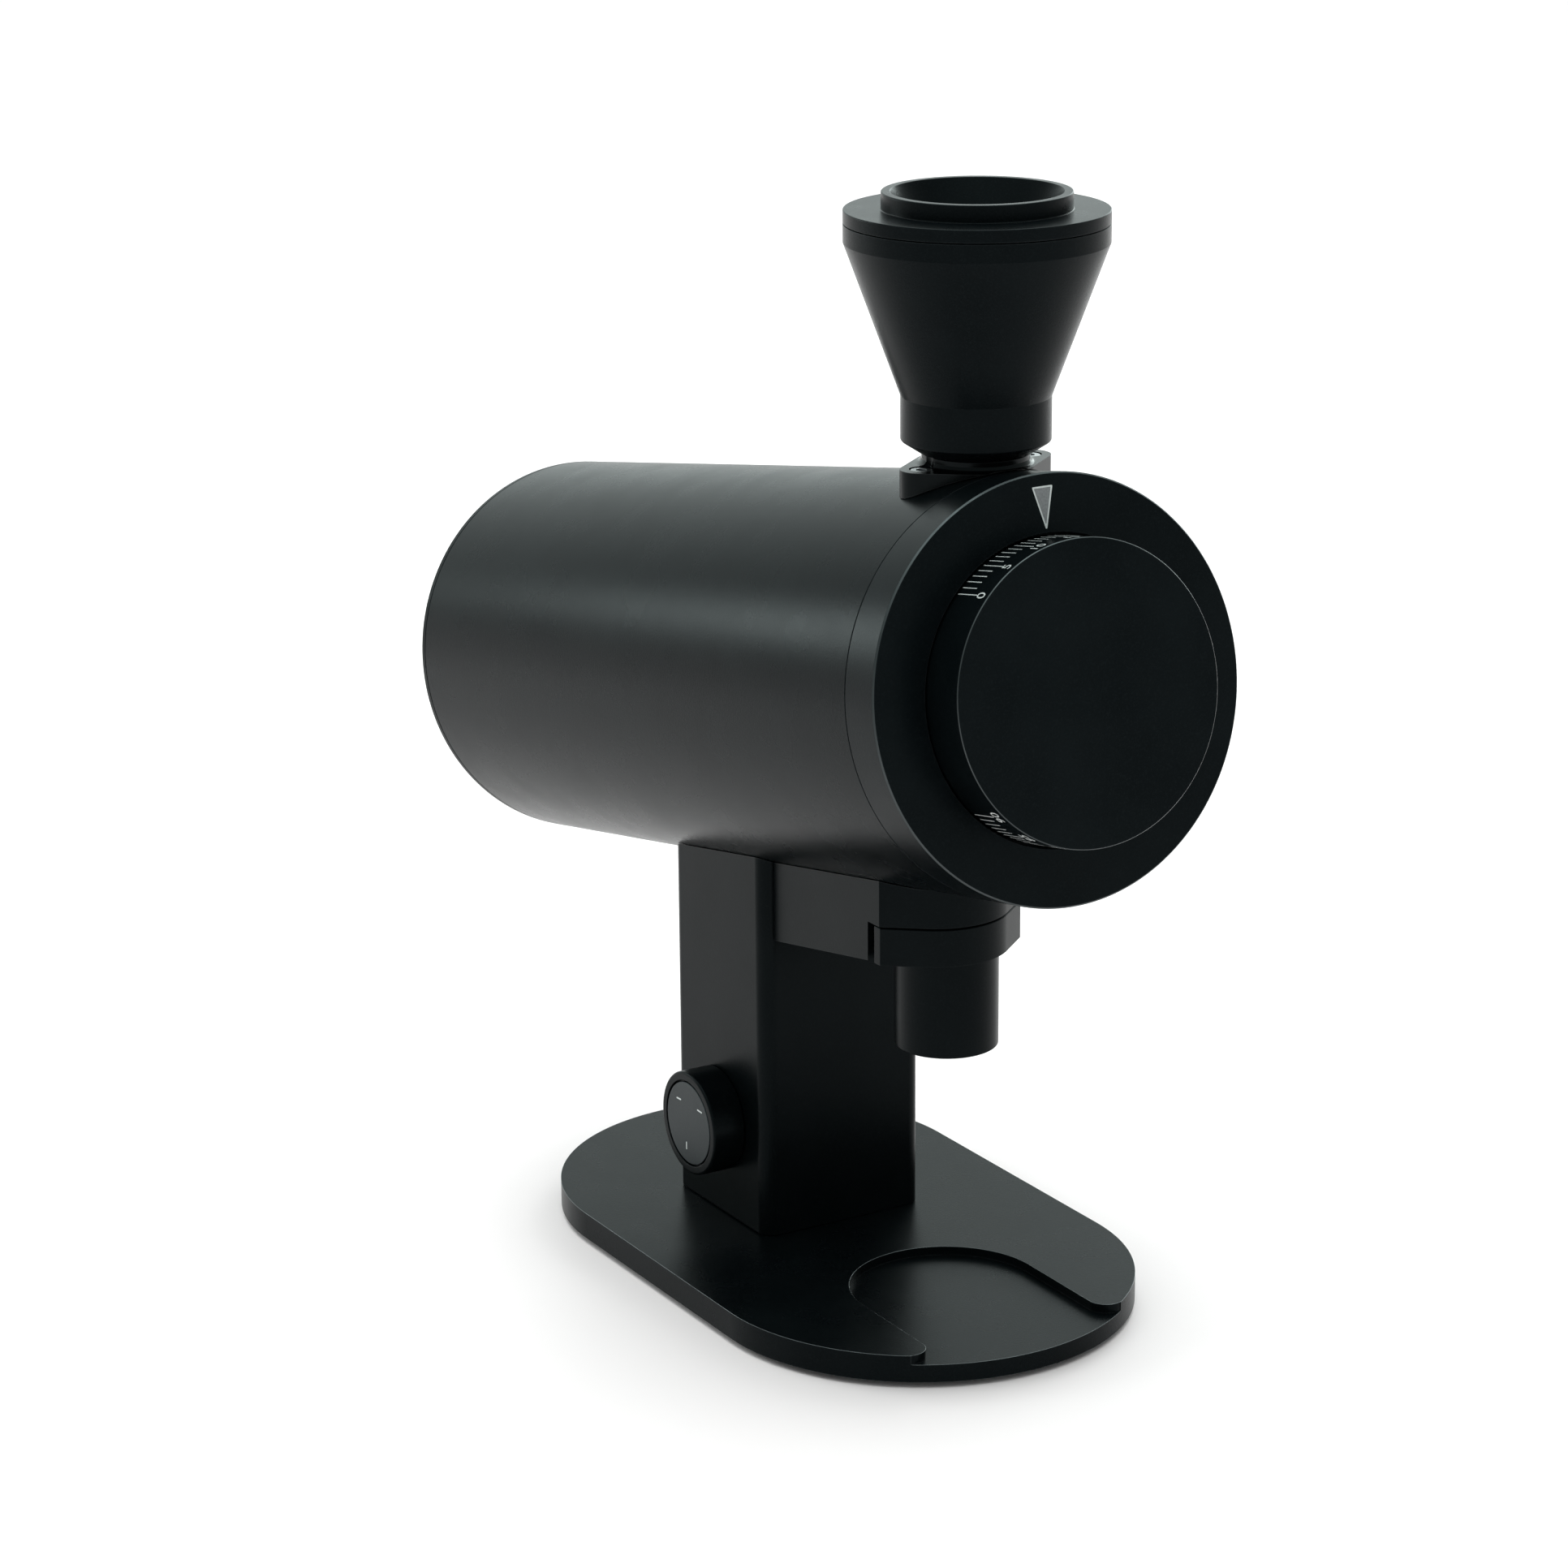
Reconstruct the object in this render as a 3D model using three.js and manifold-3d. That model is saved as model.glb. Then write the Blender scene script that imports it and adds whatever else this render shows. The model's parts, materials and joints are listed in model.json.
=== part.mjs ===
// Electric single-dose coffee grinder with flat burrs on a tilted drum.
// Millimetres, +Z up, dial towards -Y, mirror plane x = 0.
import * as THREE from 'three';
import { mergeVertices } from 'three/addons/utils/BufferGeometryUtils.js';
import Module from 'manifold-3d';

const wasm = await Module();
wasm.setup();

// ---- driving dimensions -------------------------------------------------
const WELD = 0.004;                   // vertices closer than this are merged
const GAP = 0.3;                      // clearance between neighbouring pieces
const FINE = 48;                      // facets round the drum's large circles
const MEDIUM = 32;                    // facets round middle-sized circles
const COARSE = 12;                    // facets round pins and holes
const SCREW = 8;                      // facets round screws
const BIG = 400;                      // longer than any piece, for cutting tools
const UPPER_WALL = [20, 80];          // span of a tool through the drum's upper wall
const LOWER_WALL = [-120, -35];       // and through its lower wall

// The drum frame: origin at the middle of the index ring's front face,
// +Y running back along the drum axis, which drops by DRUM_TILT.
const DRUM_TILT = 10;                 // degrees
const AXIS_HEIGHT = 223.5;            // ring-face centre above the surface
const ORIGIN_BACK = 143;              // ring-face centre in front of the frame origin
const DRUM_RADIUS = 65;
const DRUM_INNER = 61.3;
const DRUM_LENGTH = 303;
const RING_WIDTH = 15.5;

const DIAL_RADIUS = 46.1;
const DIAL_FRONT = -15.9;
const DIAL_CHAMFER = 0.8;
const DIAL_FACE = 4;                  // thickness of the dial's front wall
const DIAL_FLANGE = 53.8;
const HUB_RADIUS = 26;
const BOSS_RADIUS = 20;               // threaded boss of the front carrier

const CHAMBER_OUTER = 61;
const CHAMBER_BORE = 43.6;
const CHAMBER_REAR = 82;
const COUNTERBORE = 51;
const COUNTERBORE_END = 29.5;
const SHAFT_RADIUS = 6;
const SHAFT_HOLE = SHAFT_RADIUS + GAP;

const BURR_RADIUS = 41.3;
const BURR_BORE = 22;
const BURR_THICK = 8;
const BURR_FRONT = 56.3;              // back face of the stationary burr
const BURR_GAP = 0.6;
const BURR_REAR = BURR_FRONT + BURR_THICK + BURR_GAP;
const BURR_SLOTS = 12;
const BURR_SCREW_CIRCLE = 29;
const BURR_SCREWS = 3;

const HOPPER_BACK = 46.1;             // hopper axis behind the ring face
const SPOUT_BACK = 61.4;              // spout axis behind the ring face
const SPOUT_RADIUS = 16.5;
const SPOUT_BORE = 14.2;
const SPOUT_BOTTOM = -129.5;
const THROAT = 13;
const EXIT_RADIUS = 11;               // ground coffee hole in the chamber wall

const BLOCK_HALF = 26.4;              // half width of the chute block
const NOSE_CENTRE = 68.5;             // round nose of the block and the nozzle
const NOSE_RADIUS = 23.9;
const NOSE_ANGLE = THREE.MathUtils.degToRad(39);
const SEAM_LEVEL = -86.05;            // level where the nozzle meets the block
const BLOCK_BOTTOM = -85.9;           // level in the drum frame
const NOZZLE_BOTTOM = -98.7;
const NOZZLE_HALF = 26.2;

const COLUMN_HALF = 30.4;
const COLUMN_FRONT = 123.8;
const COLUMN_BACK = 183;
const COLUMN_WALL = 3;
const COLUMN_CORNER = 3.5;
const COLUMN_MIDDLE = (COLUMN_FRONT + COLUMN_BACK) / 2;

const BASE_HALF = 70.5;
const BASE_FRONT_CENTRE = 78;
const BASE_REAR_CENTRE = 175;
const BASE_TOP = -212.5;
const BASE_THICK = 9;
const FOOT_HEIGHT = 2;
const SEAT_RADIUS = 31.5;
const SEAT_BACK = 60.5;
const SEAT_DEPTH = 3;
const SEAT_HORN = 6;

const KNOB_RADIUS = 17.6;
const KNOB_DEPTH = 12.2;
const KNOB_LEVEL = -178.9;

// ---- materials ----------------------------------------------------------
const paint = (color, roughness, metalness) =>
  new THREE.MeshStandardMaterial({ color, roughness, metalness });
const ANODISED = () => paint(0x1d2022, 0.48, 0.6);
const POLISHED = () => paint(0x17191a, 0.22, 0.7);
const STEEL = () => paint(0x9a9da0, 0.35, 0.95);
const BURR_STEEL = () => paint(0xb4b6b8, 0.3, 1);
const RUBBER = () => paint(0x141414, 0.85, 0);
const PLASTIC = () => paint(0x1a1b1c, 0.55, 0);
const ALUMINIUM = () => paint(0xa8abad, 0.4, 0.9);
const KNOB_GREY = () => paint(0x5d6163, 0.45, 0.4);
const LAMINATION = () => paint(0x55585b, 0.5, 0.8);
const COPPER = () => paint(0xb5673a, 0.35, 0.9);
const BOARD_GREEN = () => paint(0x1f5a37, 0.6, 0);
const SPRING_STEEL = () => paint(0x85888b, 0.3, 1);

// ---- solid helpers ------------------------------------------------------
// A closed geometry as a solid that can be cut and joined.
function solid(geometry) {
  const bare = new THREE.BufferGeometry();
  bare.setAttribute('position', geometry.getAttribute('position').clone());
  if (geometry.index) {
    bare.setIndex(geometry.index.clone());
  }
  const welded = mergeVertices(bare, 1e-4);
  const index = welded.index.array;
  const kept = [];
  for (let i = 0; i < index.length; i += 3) {
    const [a, b, c] = [index[i], index[i + 1], index[i + 2]];
    if (a !== b && b !== c && c !== a) {
      kept.push(a, b, c);
    }
  }
  const vertProperties = new Float32Array(welded.getAttribute('position').array);
  const build = (triangles) => new wasm.Manifold(
    new wasm.Mesh({ numProp: 3, vertProperties, triVerts: new Uint32Array(triangles) }));
  const made = build(kept);
  if (made.volume() > 0) {
    return made;
  }
  for (let i = 0; i < kept.length; i += 3) {
    [kept[i], kept[i + 1]] = [kept[i + 1], kept[i]];
  }
  return build(kept);
}

function geometryOf(body) {
  const mesh = body.simplify(WELD).getMesh();
  const geometry = new THREE.BufferGeometry();
  geometry.setAttribute('position', new THREE.BufferAttribute(mesh.vertProperties, 3));
  geometry.setIndex(new THREE.BufferAttribute(mesh.triVerts, 1));
  const faceted = geometry.toNonIndexed();
  faceted.computeVertexNormals();
  return faceted;
}

const cut = (body, ...tools) => tools.reduce((rest, tool) => rest.subtract(tool), body);
const join = (body, ...others) => others.reduce((sum, other) => sum.add(other), body);

// Body of revolution about Y; the profile is [radius, y] pairs.
function turned(profile, segments = MEDIUM) {
  const points = profile.map(([radius, y]) => new THREE.Vector2(radius, y));
  const onAxis = profile[0][0] === 0 && profile[profile.length - 1][0] === 0;
  if (!onAxis) {
    points.push(points[0].clone());
  }
  return new THREE.LatheGeometry(points, segments);
}

// Body of revolution about Z; the profile is [radius, z] pairs.
const turnedUp = (profile, segments) => turned(profile, segments).rotateX(Math.PI / 2);

function rod(radius, from, to, segments = COARSE) {
  return turned([[0, from], [radius, from], [radius, to], [0, to]], segments);
}

const rodUp = (radius, from, to, segments = COARSE) =>
  rod(radius, from, to, segments).rotateX(Math.PI / 2);

const sleeve = (inner, outer, from, to, segments = MEDIUM) =>
  turned([[inner, from], [outer, from], [outer, to], [inner, to]], segments);

const extruded = (shape, from, to, curveSegments = 6) =>
  new THREE.ExtrudeGeometry(shape, { depth: to - from, bevelEnabled: false, curveSegments })
    .translate(0, 0, from);

const block = (x0, x1, y0, y1, z0, z1) =>
  new THREE.BoxGeometry(x1 - x0, y1 - y0, z1 - z0)
    .translate((x0 + x1) / 2, (y0 + y1) / 2, (z0 + z1) / 2);

// From the upright frame at the ring face into the tilted drum frame, and back.
const intoDrum = (geometry) => geometry.rotateX(THREE.MathUtils.degToRad(DRUM_TILT));
const outOfDrum = (geometry) => geometry.rotateX(-THREE.MathUtils.degToRad(DRUM_TILT));

// An upright hole in the drum, given its distance behind the ring face.
const uprightHole = (radius, x, back, [from, to], segments = COARSE) =>
  solid(intoDrum(rodUp(radius, from, to, segments).translate(x, back, 0)));

// The drum with its clearance, as a tool for upright pieces.
const drumTool = () => solid(outOfDrum(rod(DRUM_RADIUS + GAP, -BIG, BIG, FINE)));

// Angles of a ring of equally spaced pieces, and the pieces made at them.
const anglesOf = (count, start) =>
  Array.from({ length: count }, (_, i) => start + i * 360 / count);
const around = (count, start, make) => anglesOf(count, start).map(make);

// A point on a circle about the drum axis, measured from the top towards +X.
function onCircle(radius, y, degrees) {
  const angle = THREE.MathUtils.degToRad(degrees);
  return [radius * Math.sin(angle), y, radius * Math.cos(angle)];
}

const spun = (geometry, degrees) => geometry.rotateY(THREE.MathUtils.degToRad(degrees));

// ---- piece list ---------------------------------------------------------
const upright = new THREE.Group();
const drum = new THREE.Group();

function place(group, name, body, material, position = [0, 0, 0], rotation = [0, 0, 0]) {
  const mesh = new THREE.Mesh(geometryOf(body), material);
  mesh.name = name;
  mesh.position.set(...position);
  mesh.rotation.set(...rotation.map((degrees) => THREE.MathUtils.degToRad(degrees)));
  group.add(mesh);
}

// ---- base ---------------------------------------------------------------
// Racetrack outline with round ends, wide side along Y.
function racetrack(half, frontCentre, rearCentre) {
  const shape = new THREE.Shape();
  shape.moveTo(-half, rearCentre);
  shape.lineTo(-half, frontCentre);
  shape.absarc(0, frontCentre, half, Math.PI, 2 * Math.PI, false);
  shape.lineTo(half, rearCentre);
  shape.absarc(0, rearCentre, half, 0, Math.PI, false);
  return shape;
}

// U-shaped cup seat: round at the back, straight to the front, horns eased.
function seatShape() {
  const front = BASE_FRONT_CENTRE - BASE_HALF;
  const horn = SEAT_RADIUS + SEAT_HORN;
  const hornCentre = BASE_FRONT_CENTRE
    - Math.sqrt((BASE_HALF - SEAT_HORN) ** 2 - horn ** 2);
  const end = THREE.MathUtils.degToRad(110);
  const reach = horn - SEAT_HORN * Math.cos(Math.PI - end) + 2;
  const shape = new THREE.Shape();
  shape.moveTo(SEAT_RADIUS, SEAT_BACK);
  shape.absarc(0, SEAT_BACK, SEAT_RADIUS, 0, Math.PI, false);
  shape.lineTo(-SEAT_RADIUS, hornCentre);
  shape.absarc(-horn, hornCentre, SEAT_HORN, 0, -end, true);
  shape.lineTo(-reach, front - SEAT_HORN);
  shape.lineTo(reach, front - SEAT_HORN);
  shape.absarc(horn, hornCentre, SEAT_HORN, Math.PI + end, Math.PI, true);
  return shape;
}

const FOOT_RADIUS = 9;
const FOOT_SUNK = 1.5;
const BASE_BOTTOM = BASE_TOP - BASE_THICK;
const footSpots = {
  foot_front_left: [-44, 58],
  foot_front_right: [44, 58],
  foot_rear_left: [-44, 195],
  foot_rear_right: [44, 195],
};
const BASE_BOLT_X = 18;
const BOLT_SHANK = 2.5;
const BOLT_HEAD = 4.6;
const BOLT_HEAD_DEEP = 4.5;

function addBase() {
  const plate = solid(extruded(racetrack(BASE_HALF, BASE_FRONT_CENTRE, BASE_REAR_CENTRE),
    BASE_BOTTOM, BASE_TOP, 16));
  const seat = solid(extruded(seatShape(), BASE_TOP - SEAT_DEPTH, BASE_TOP + 1, 8));
  const footHoles = Object.values(footSpots).map(([x, y]) => solid(
    rodUp(FOOT_RADIUS + GAP, BASE_BOTTOM - 1, BASE_BOTTOM + FOOT_SUNK).translate(x, y, 0)));
  const boltHoles = [-1, 1].flatMap((side) => [
    solid(rodUp(BOLT_SHANK + GAP, BASE_BOTTOM - 1, BASE_TOP + 1)
      .translate(side * BASE_BOLT_X, COLUMN_MIDDLE, 0)),
    solid(rodUp(BOLT_HEAD + GAP, BASE_BOTTOM - 1, BASE_BOTTOM + BOLT_HEAD_DEEP + GAP)
      .translate(side * BASE_BOLT_X, COLUMN_MIDDLE, 0)),
  ]);
  place(upright, 'base_plate', cut(plate, seat, ...footHoles, ...boltHoles), ANODISED());

  for (const [name, [x, y]] of Object.entries(footSpots)) {
    const foot = solid(rodUp(FOOT_RADIUS, -FOOT_HEIGHT, FOOT_SUNK - GAP));
    place(upright, name, foot, RUBBER(), [x, y, BASE_BOTTOM]);
  }
}

// Socket-head bolt, head at z = 0 going down, shank going up.
function boltUp(shank, length, head, headDeep) {
  const body = solid(turnedUp([[0, 0], [head, 0], [head, headDeep], [shank, headDeep],
    [shank, headDeep + length], [0, headDeep + length]], SCREW));
  const socket = solid(rodUp(head * 0.5, -1, headDeep * 0.55, 6));
  return cut(body, socket);
}

// ---- column -------------------------------------------------------------
function roundedBox(x0, x1, y0, y1, corner) {
  const shape = new THREE.Shape();
  shape.moveTo(x0 + corner, y0);
  shape.lineTo(x1 - corner, y0);
  shape.absarc(x1 - corner, y0 + corner, corner, -Math.PI / 2, 0, false);
  shape.lineTo(x1, y1 - corner);
  shape.absarc(x1 - corner, y1 - corner, corner, 0, Math.PI / 2, false);
  shape.lineTo(x0 + corner, y1);
  shape.absarc(x0 + corner, y1 - corner, corner, Math.PI / 2, Math.PI, false);
  shape.lineTo(x0, y0 + corner);
  shape.absarc(x0 + corner, y0 + corner, corner, Math.PI, Math.PI * 3 / 2, false);
  return shape;
}

const COLUMN_FLOOR = 9;
const SADDLE_DEPTH = 9;
const SADDLE_FLOOR = 105;             // below the saddle's lowest point
const PANEL_HALF = 22;
const PANEL_LOW = -204;
const PANEL_HIGH = -112;
const PANEL_THICK = 2.2;
const PANEL_SCREW_INSET = 5;
const SADDLE_BOLT_X = 20;
const SADDLE_HEAD_DEEP = 3;
const CABLE_HOLE = 8;
const POT_BUSH = 4.4;
const INLET_LEVEL = -181;
const PANEL_LIP = 5;
const PANEL_LEDGE = 4;                // width of the ledge round the panel window
const PANEL_LEDGE_END = 10;           // and its height above and below
const PANEL_SCREW_SHANK = 1.4;
const panelScrewLevels = [PANEL_LOW + PANEL_SCREW_INSET, PANEL_HIGH - PANEL_SCREW_INSET];

// Where the column's middle meets the drum, measured along the drum axis.
function saddleAxis() {
  const tilt = THREE.MathUtils.degToRad(DRUM_TILT);
  return (COLUMN_MIDDLE + DRUM_RADIUS * Math.sin(tilt)) / Math.cos(tilt);
}

// The hollow column with its saddle, before any holes.
function columnShell() {
  const outer = solid(extruded(
    roundedBox(-COLUMN_HALF, COLUMN_HALF, COLUMN_FRONT, COLUMN_BACK, COLUMN_CORNER),
    BASE_TOP + GAP, 0, 6));
  const inner = solid(extruded(
    roundedBox(-COLUMN_HALF + COLUMN_WALL, COLUMN_HALF - COLUMN_WALL,
      COLUMN_FRONT + COLUMN_WALL, COLUMN_BACK - COLUMN_WALL, 1),
    BASE_TOP + COLUMN_FLOOR, 0, 2));
  const saddle = solid(outOfDrum(rod(DRUM_RADIUS + SADDLE_DEPTH, -BIG, BIG, FINE)));
  return cut(outer, drumTool(), cut(inner, saddle));
}

// Seat, ledges, window and screw holes for the back panel.
function panelOpening(shell) {
  const half = PANEL_HALF - PANEL_LEDGE;
  const front = COLUMN_BACK - PANEL_LIP - 3;
  const back = COLUMN_BACK - COLUMN_WALL + 0.5;
  const ledge = PANEL_LEDGE_END - 0.5;
  const ledges = [[PANEL_LOW, PANEL_LOW + ledge], [PANEL_HIGH - ledge, PANEL_HIGH]]
    .map(([from, to]) => solid(block(-half, half, front, back, from, to)));
  const seat = solid(block(-PANEL_HALF - GAP, PANEL_HALF + GAP,
    COLUMN_BACK - PANEL_THICK - GAP, COLUMN_BACK + 1, PANEL_LOW - GAP, PANEL_HIGH + GAP));
  const window = solid(block(-half, half, COLUMN_BACK - PANEL_LIP - 1, COLUMN_BACK + 1,
    PANEL_LOW + PANEL_LEDGE_END, PANEL_HIGH - PANEL_LEDGE_END));
  const screws = panelScrewLevels.map((z) => solid(
    rod(PANEL_SCREW_SHANK + GAP, COLUMN_BACK - 20, COLUMN_BACK + 1, SCREW)
      .translate(0, 0, z)));
  return cut(join(shell, ...ledges), seat, window, ...screws);
}

function addColumn() {
  const saddleHoles = [-1, 1].map((side) => solid(
    outOfDrum(rodUp(BOLT_SHANK + GAP, -BIG, 0)
      .translate(side * SADDLE_BOLT_X, saddleAxis(), 0)))
    .intersect(solid(block(-BIG, BIG, 0, BIG, -SADDLE_FLOOR, 0))));
  const cableHole = solid(rodUp(CABLE_HOLE, -SADDLE_FLOOR, 0)
    .translate(0, COLUMN_MIDDLE, 0));
  const baseThreads = [-1, 1].map((side) => solid(
    rodUp(BOLT_SHANK + GAP, BASE_TOP - 1, BASE_TOP + COLUMN_FLOOR + 1)
      .translate(side * BASE_BOLT_X, COLUMN_MIDDLE, 0)));
  const potHole = solid(rod(POT_BUSH + GAP, -BIG, 0).rotateZ(-Math.PI / 2)
    .translate(-COLUMN_HALF + COLUMN_WALL + 1, COLUMN_MIDDLE, KNOB_LEVEL));
  const body = cut(panelOpening(columnShell()), cableHole, potHole,
    ...saddleHoles, ...baseThreads);
  place(upright, 'column', body, ANODISED());
  addColumnBolts();
}

function addColumnBolts() {
  for (const [i, side] of [-1, 1].entries()) {
    const bolt = boltUp(BOLT_SHANK, BASE_THICK + 2, BOLT_HEAD, BOLT_HEAD_DEEP - 0.5);
    place(upright, `base_bolt_${i + 1}`, bolt, STEEL(),
      [side * BASE_BOLT_X, COLUMN_MIDDLE, BASE_BOTTOM + 0.2]);
    const saddle = boltUp(BOLT_SHANK, 11, BOLT_HEAD, SADDLE_HEAD_DEEP);
    const rise = Math.sqrt(DRUM_INNER ** 2 - (SADDLE_BOLT_X + BOLT_HEAD) ** 2)
      - SADDLE_HEAD_DEEP - GAP;
    place(drum, `saddle_bolt_${i + 1}`, saddle, STEEL(),
      [side * SADDLE_BOLT_X, saddleAxis(), -rise], [180, 0, 0]);
  }
}

// ---- back panel and mains inlet ----------------------------------------
const INLET_HALF_WIDTH = 12.2;
const INLET_HALF_HEIGHT = 8.2;
const INLET_DEEP = 18;
const INLET_FLANGE = 3;
const INLET_CORNER_CUT = 5;

// Inlet outline: a box with the two upper corners cut off.
function inletShape(grow) {
  const w = INLET_HALF_WIDTH + grow;
  const h = INLET_HALF_HEIGHT + grow;
  const shape = new THREE.Shape();
  shape.moveTo(-w, -h);
  shape.lineTo(w, -h);
  shape.lineTo(w, h - INLET_CORNER_CUT);
  shape.lineTo(w - INLET_CORNER_CUT, h);
  shape.lineTo(-w + INLET_CORNER_CUT, h);
  shape.lineTo(-w, h - INLET_CORNER_CUT);
  shape.closePath();
  return shape;
}

// An inlet outline run along Y from y0 to y1.
const inletPrism = (grow, y0, y1) =>
  extruded(inletShape(grow), -y1, -y0).rotateX(Math.PI / 2).translate(0, 0, INLET_LEVEL);

function addInlet() {
  const plate = solid(block(-PANEL_HALF, PANEL_HALF, COLUMN_BACK - PANEL_THICK, COLUMN_BACK,
    PANEL_LOW, PANEL_HIGH));
  const screwHoles = panelScrewLevels.map((z) => solid(
    rod(PANEL_SCREW_SHANK + GAP, COLUMN_BACK - 10, COLUMN_BACK + 1, SCREW).translate(0, 0, z)));
  const opening = solid(inletPrism(1.5 + GAP, COLUMN_BACK - 10, COLUMN_BACK + 1));
  place(upright, 'rear_panel', cut(plate, opening, ...screwHoles), ANODISED());

  panelScrewLevels.forEach((z, i) => {
    const screw = solid(turned([[0, -7], [PANEL_SCREW_SHANK, -7],
      [PANEL_SCREW_SHANK, GAP], [2.8, GAP], [2.2, 1.9], [0, 1.9]], SCREW));
    const slot = solid(block(-3, 3, 1.2, 3, -0.4, 0.4));
    place(upright, `panel_screw_${i + 1}`, cut(screw, slot), STEEL(), [0, COLUMN_BACK, z]);
  });

  const outside = join(
    solid(inletPrism(1.5, COLUMN_BACK - INLET_DEEP - 2, COLUMN_BACK + GAP)),
    solid(inletPrism(3.2, COLUMN_BACK + GAP, COLUMN_BACK + GAP + INLET_FLANGE)));
  const hollow = solid(inletPrism(0, COLUMN_BACK - INLET_DEEP, COLUMN_BACK + 10));
  const pins = { inlet_pin_live: [-7, -2], inlet_pin_earth: [0, 2], inlet_pin_neutral: [7, -2] };
  const pinHoles = Object.values(pins).map(([x, z]) => solid(
    block(x - 1.3, x + 1.3, COLUMN_BACK - BIG, COLUMN_BACK, z - 2.3, z + 2.3)
      .translate(0, 0, INLET_LEVEL)));
  place(upright, 'inlet_body', cut(outside, hollow, ...pinHoles), PLASTIC());
  for (const [name, [x, z]] of Object.entries(pins)) {
    const pin = solid(block(-1, 1, -INLET_DEEP - 6, -3, -2, 2));
    place(upright, name, pin, STEEL(), [x, COLUMN_BACK, INLET_LEVEL + z]);
  }
}

// ---- control board, speed control and knob ------------------------------
const BOARD_HALF = 21;
const BOARD_BACK = COLUMN_FRONT + 9;
const BOARD_THICK = 1.6;
const BOARD_LOW = -165;
const BOARD_HIGH = -96;
const BOARD_POSTS = 5.7;

function addControls() {
  const sheet = solid(block(-BOARD_HALF, BOARD_HALF, BOARD_BACK, BOARD_BACK + BOARD_THICK,
    BOARD_LOW, BOARD_HIGH - 8));
  const posts = [-1, 1].flatMap((side) => [BOARD_LOW + 6, BOARD_HIGH - 14].map((z) => solid(
    rod(2.4, BOARD_BACK - BOARD_POSTS, BOARD_BACK + 0.5, SCREW)
      .translate(side * (BOARD_HALF - 5), 0, z))));
  const capacitor = solid(rod(8, BOARD_BACK + 1, BOARD_BACK + 24, COARSE)
    .translate(9, 0, BOARD_LOW + 14));
  const fins = [0, 1, 2, 3].map((i) => solid(block(-18 + i * 5, -15.5 + i * 5,
    BOARD_BACK + 1, BOARD_BACK + 16, BOARD_LOW + 30, BOARD_HIGH - 14)));
  const finBase = solid(block(-18, 12, BOARD_BACK + 1, BOARD_BACK + 5,
    BOARD_LOW + 30, BOARD_HIGH - 14));
  const relay = solid(block(-16, -4, BOARD_BACK + 1, BOARD_BACK + 14,
    BOARD_LOW + 6, BOARD_LOW + 24));
  place(upright, 'control_board', join(sheet, ...posts, capacitor, finBase, ...fins, relay),
    BOARD_GREEN());

  // Potentiometer: can inside the wall, bushing through it, along -X.
  const pot = cut(
    join(solid(rod(8.5, 0.3, 10)), solid(rod(POT_BUSH, -COLUMN_WALL + 0.2, 1))),
    solid(rod(3 + GAP, -10, 8)));
  place(upright, 'speed_pot', pot, ALUMINIUM(),
    [-COLUMN_HALF + COLUMN_WALL, COLUMN_MIDDLE, KNOB_LEVEL], [0, 0, -90]);

  addKnob();
}

// Knob with its spindle, face towards -X.
function addKnob() {
  const chamfer = 0.8;
  const faceRadius = 14.1;
  const recess = 1.2;
  const knob = join(solid(turned([
    [0, GAP], [KNOB_RADIUS - 0.6, GAP], [KNOB_RADIUS, 0.9],
    [KNOB_RADIUS, KNOB_DEPTH - 0.9], [KNOB_RADIUS - chamfer, KNOB_DEPTH],
    [faceRadius + 0.5, KNOB_DEPTH], [faceRadius + 0.5, KNOB_DEPTH - recess - GAP],
    [0, KNOB_DEPTH - recess - GAP]], MEDIUM)),
  solid(rod(3, -COLUMN_WALL - 7, 2)));
  const knobPlace = [-COLUMN_HALF, COLUMN_MIDDLE, KNOB_LEVEL];
  place(upright, 'speed_knob', knob, PLASTIC(), knobPlace, [0, 0, 90]);
  const face = solid(rod(faceRadius, KNOB_DEPTH - recess, KNOB_DEPTH - 0.1, MEDIUM));
  place(upright, 'knob_face', face, KNOB_GREY(), knobPlace, [0, 0, 90]);
}

// ---- drum shell and covers ----------------------------------------------
const COVER_THICK = 3;
const SHELL_END = DRUM_LENGTH - COVER_THICK - GAP;
const POST_CIRCLE = 52;
const POST_START = 30;
const COVER_SCREW = 2;

function addDrumShell() {
  const tube = solid(sleeve(DRUM_INNER, DRUM_RADIUS, RING_WIDTH + GAP, SHELL_END, FINE));
  const throat = uprightHole(SOCKET_RADIUS, 0, HOPPER_BACK, UPPER_WALL, MEDIUM);
  const exit = uprightHole(EXIT_RADIUS + 1, 0, SPOUT_BACK, LOWER_WALL);
  const cable = uprightHole(CABLE_HOLE, 0, COLUMN_MIDDLE, LOWER_WALL);
  const collarScrews = [-1, 1].map((side) =>
    uprightHole(COLLAR_SHANK + GAP, side * COLLAR_SCREW_X, HOPPER_BACK, UPPER_WALL));
  const saddleBolts = [-1, 1].map((side) => solid(
    rodUp(BOLT_SHANK + GAP, -80, -40).translate(side * SADDLE_BOLT_X, saddleAxis(), 0)));
  place(drum, 'drum_shell',
    cut(tube, throat, exit, cable, ...collarScrews, ...saddleBolts), ANODISED());
}

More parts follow.
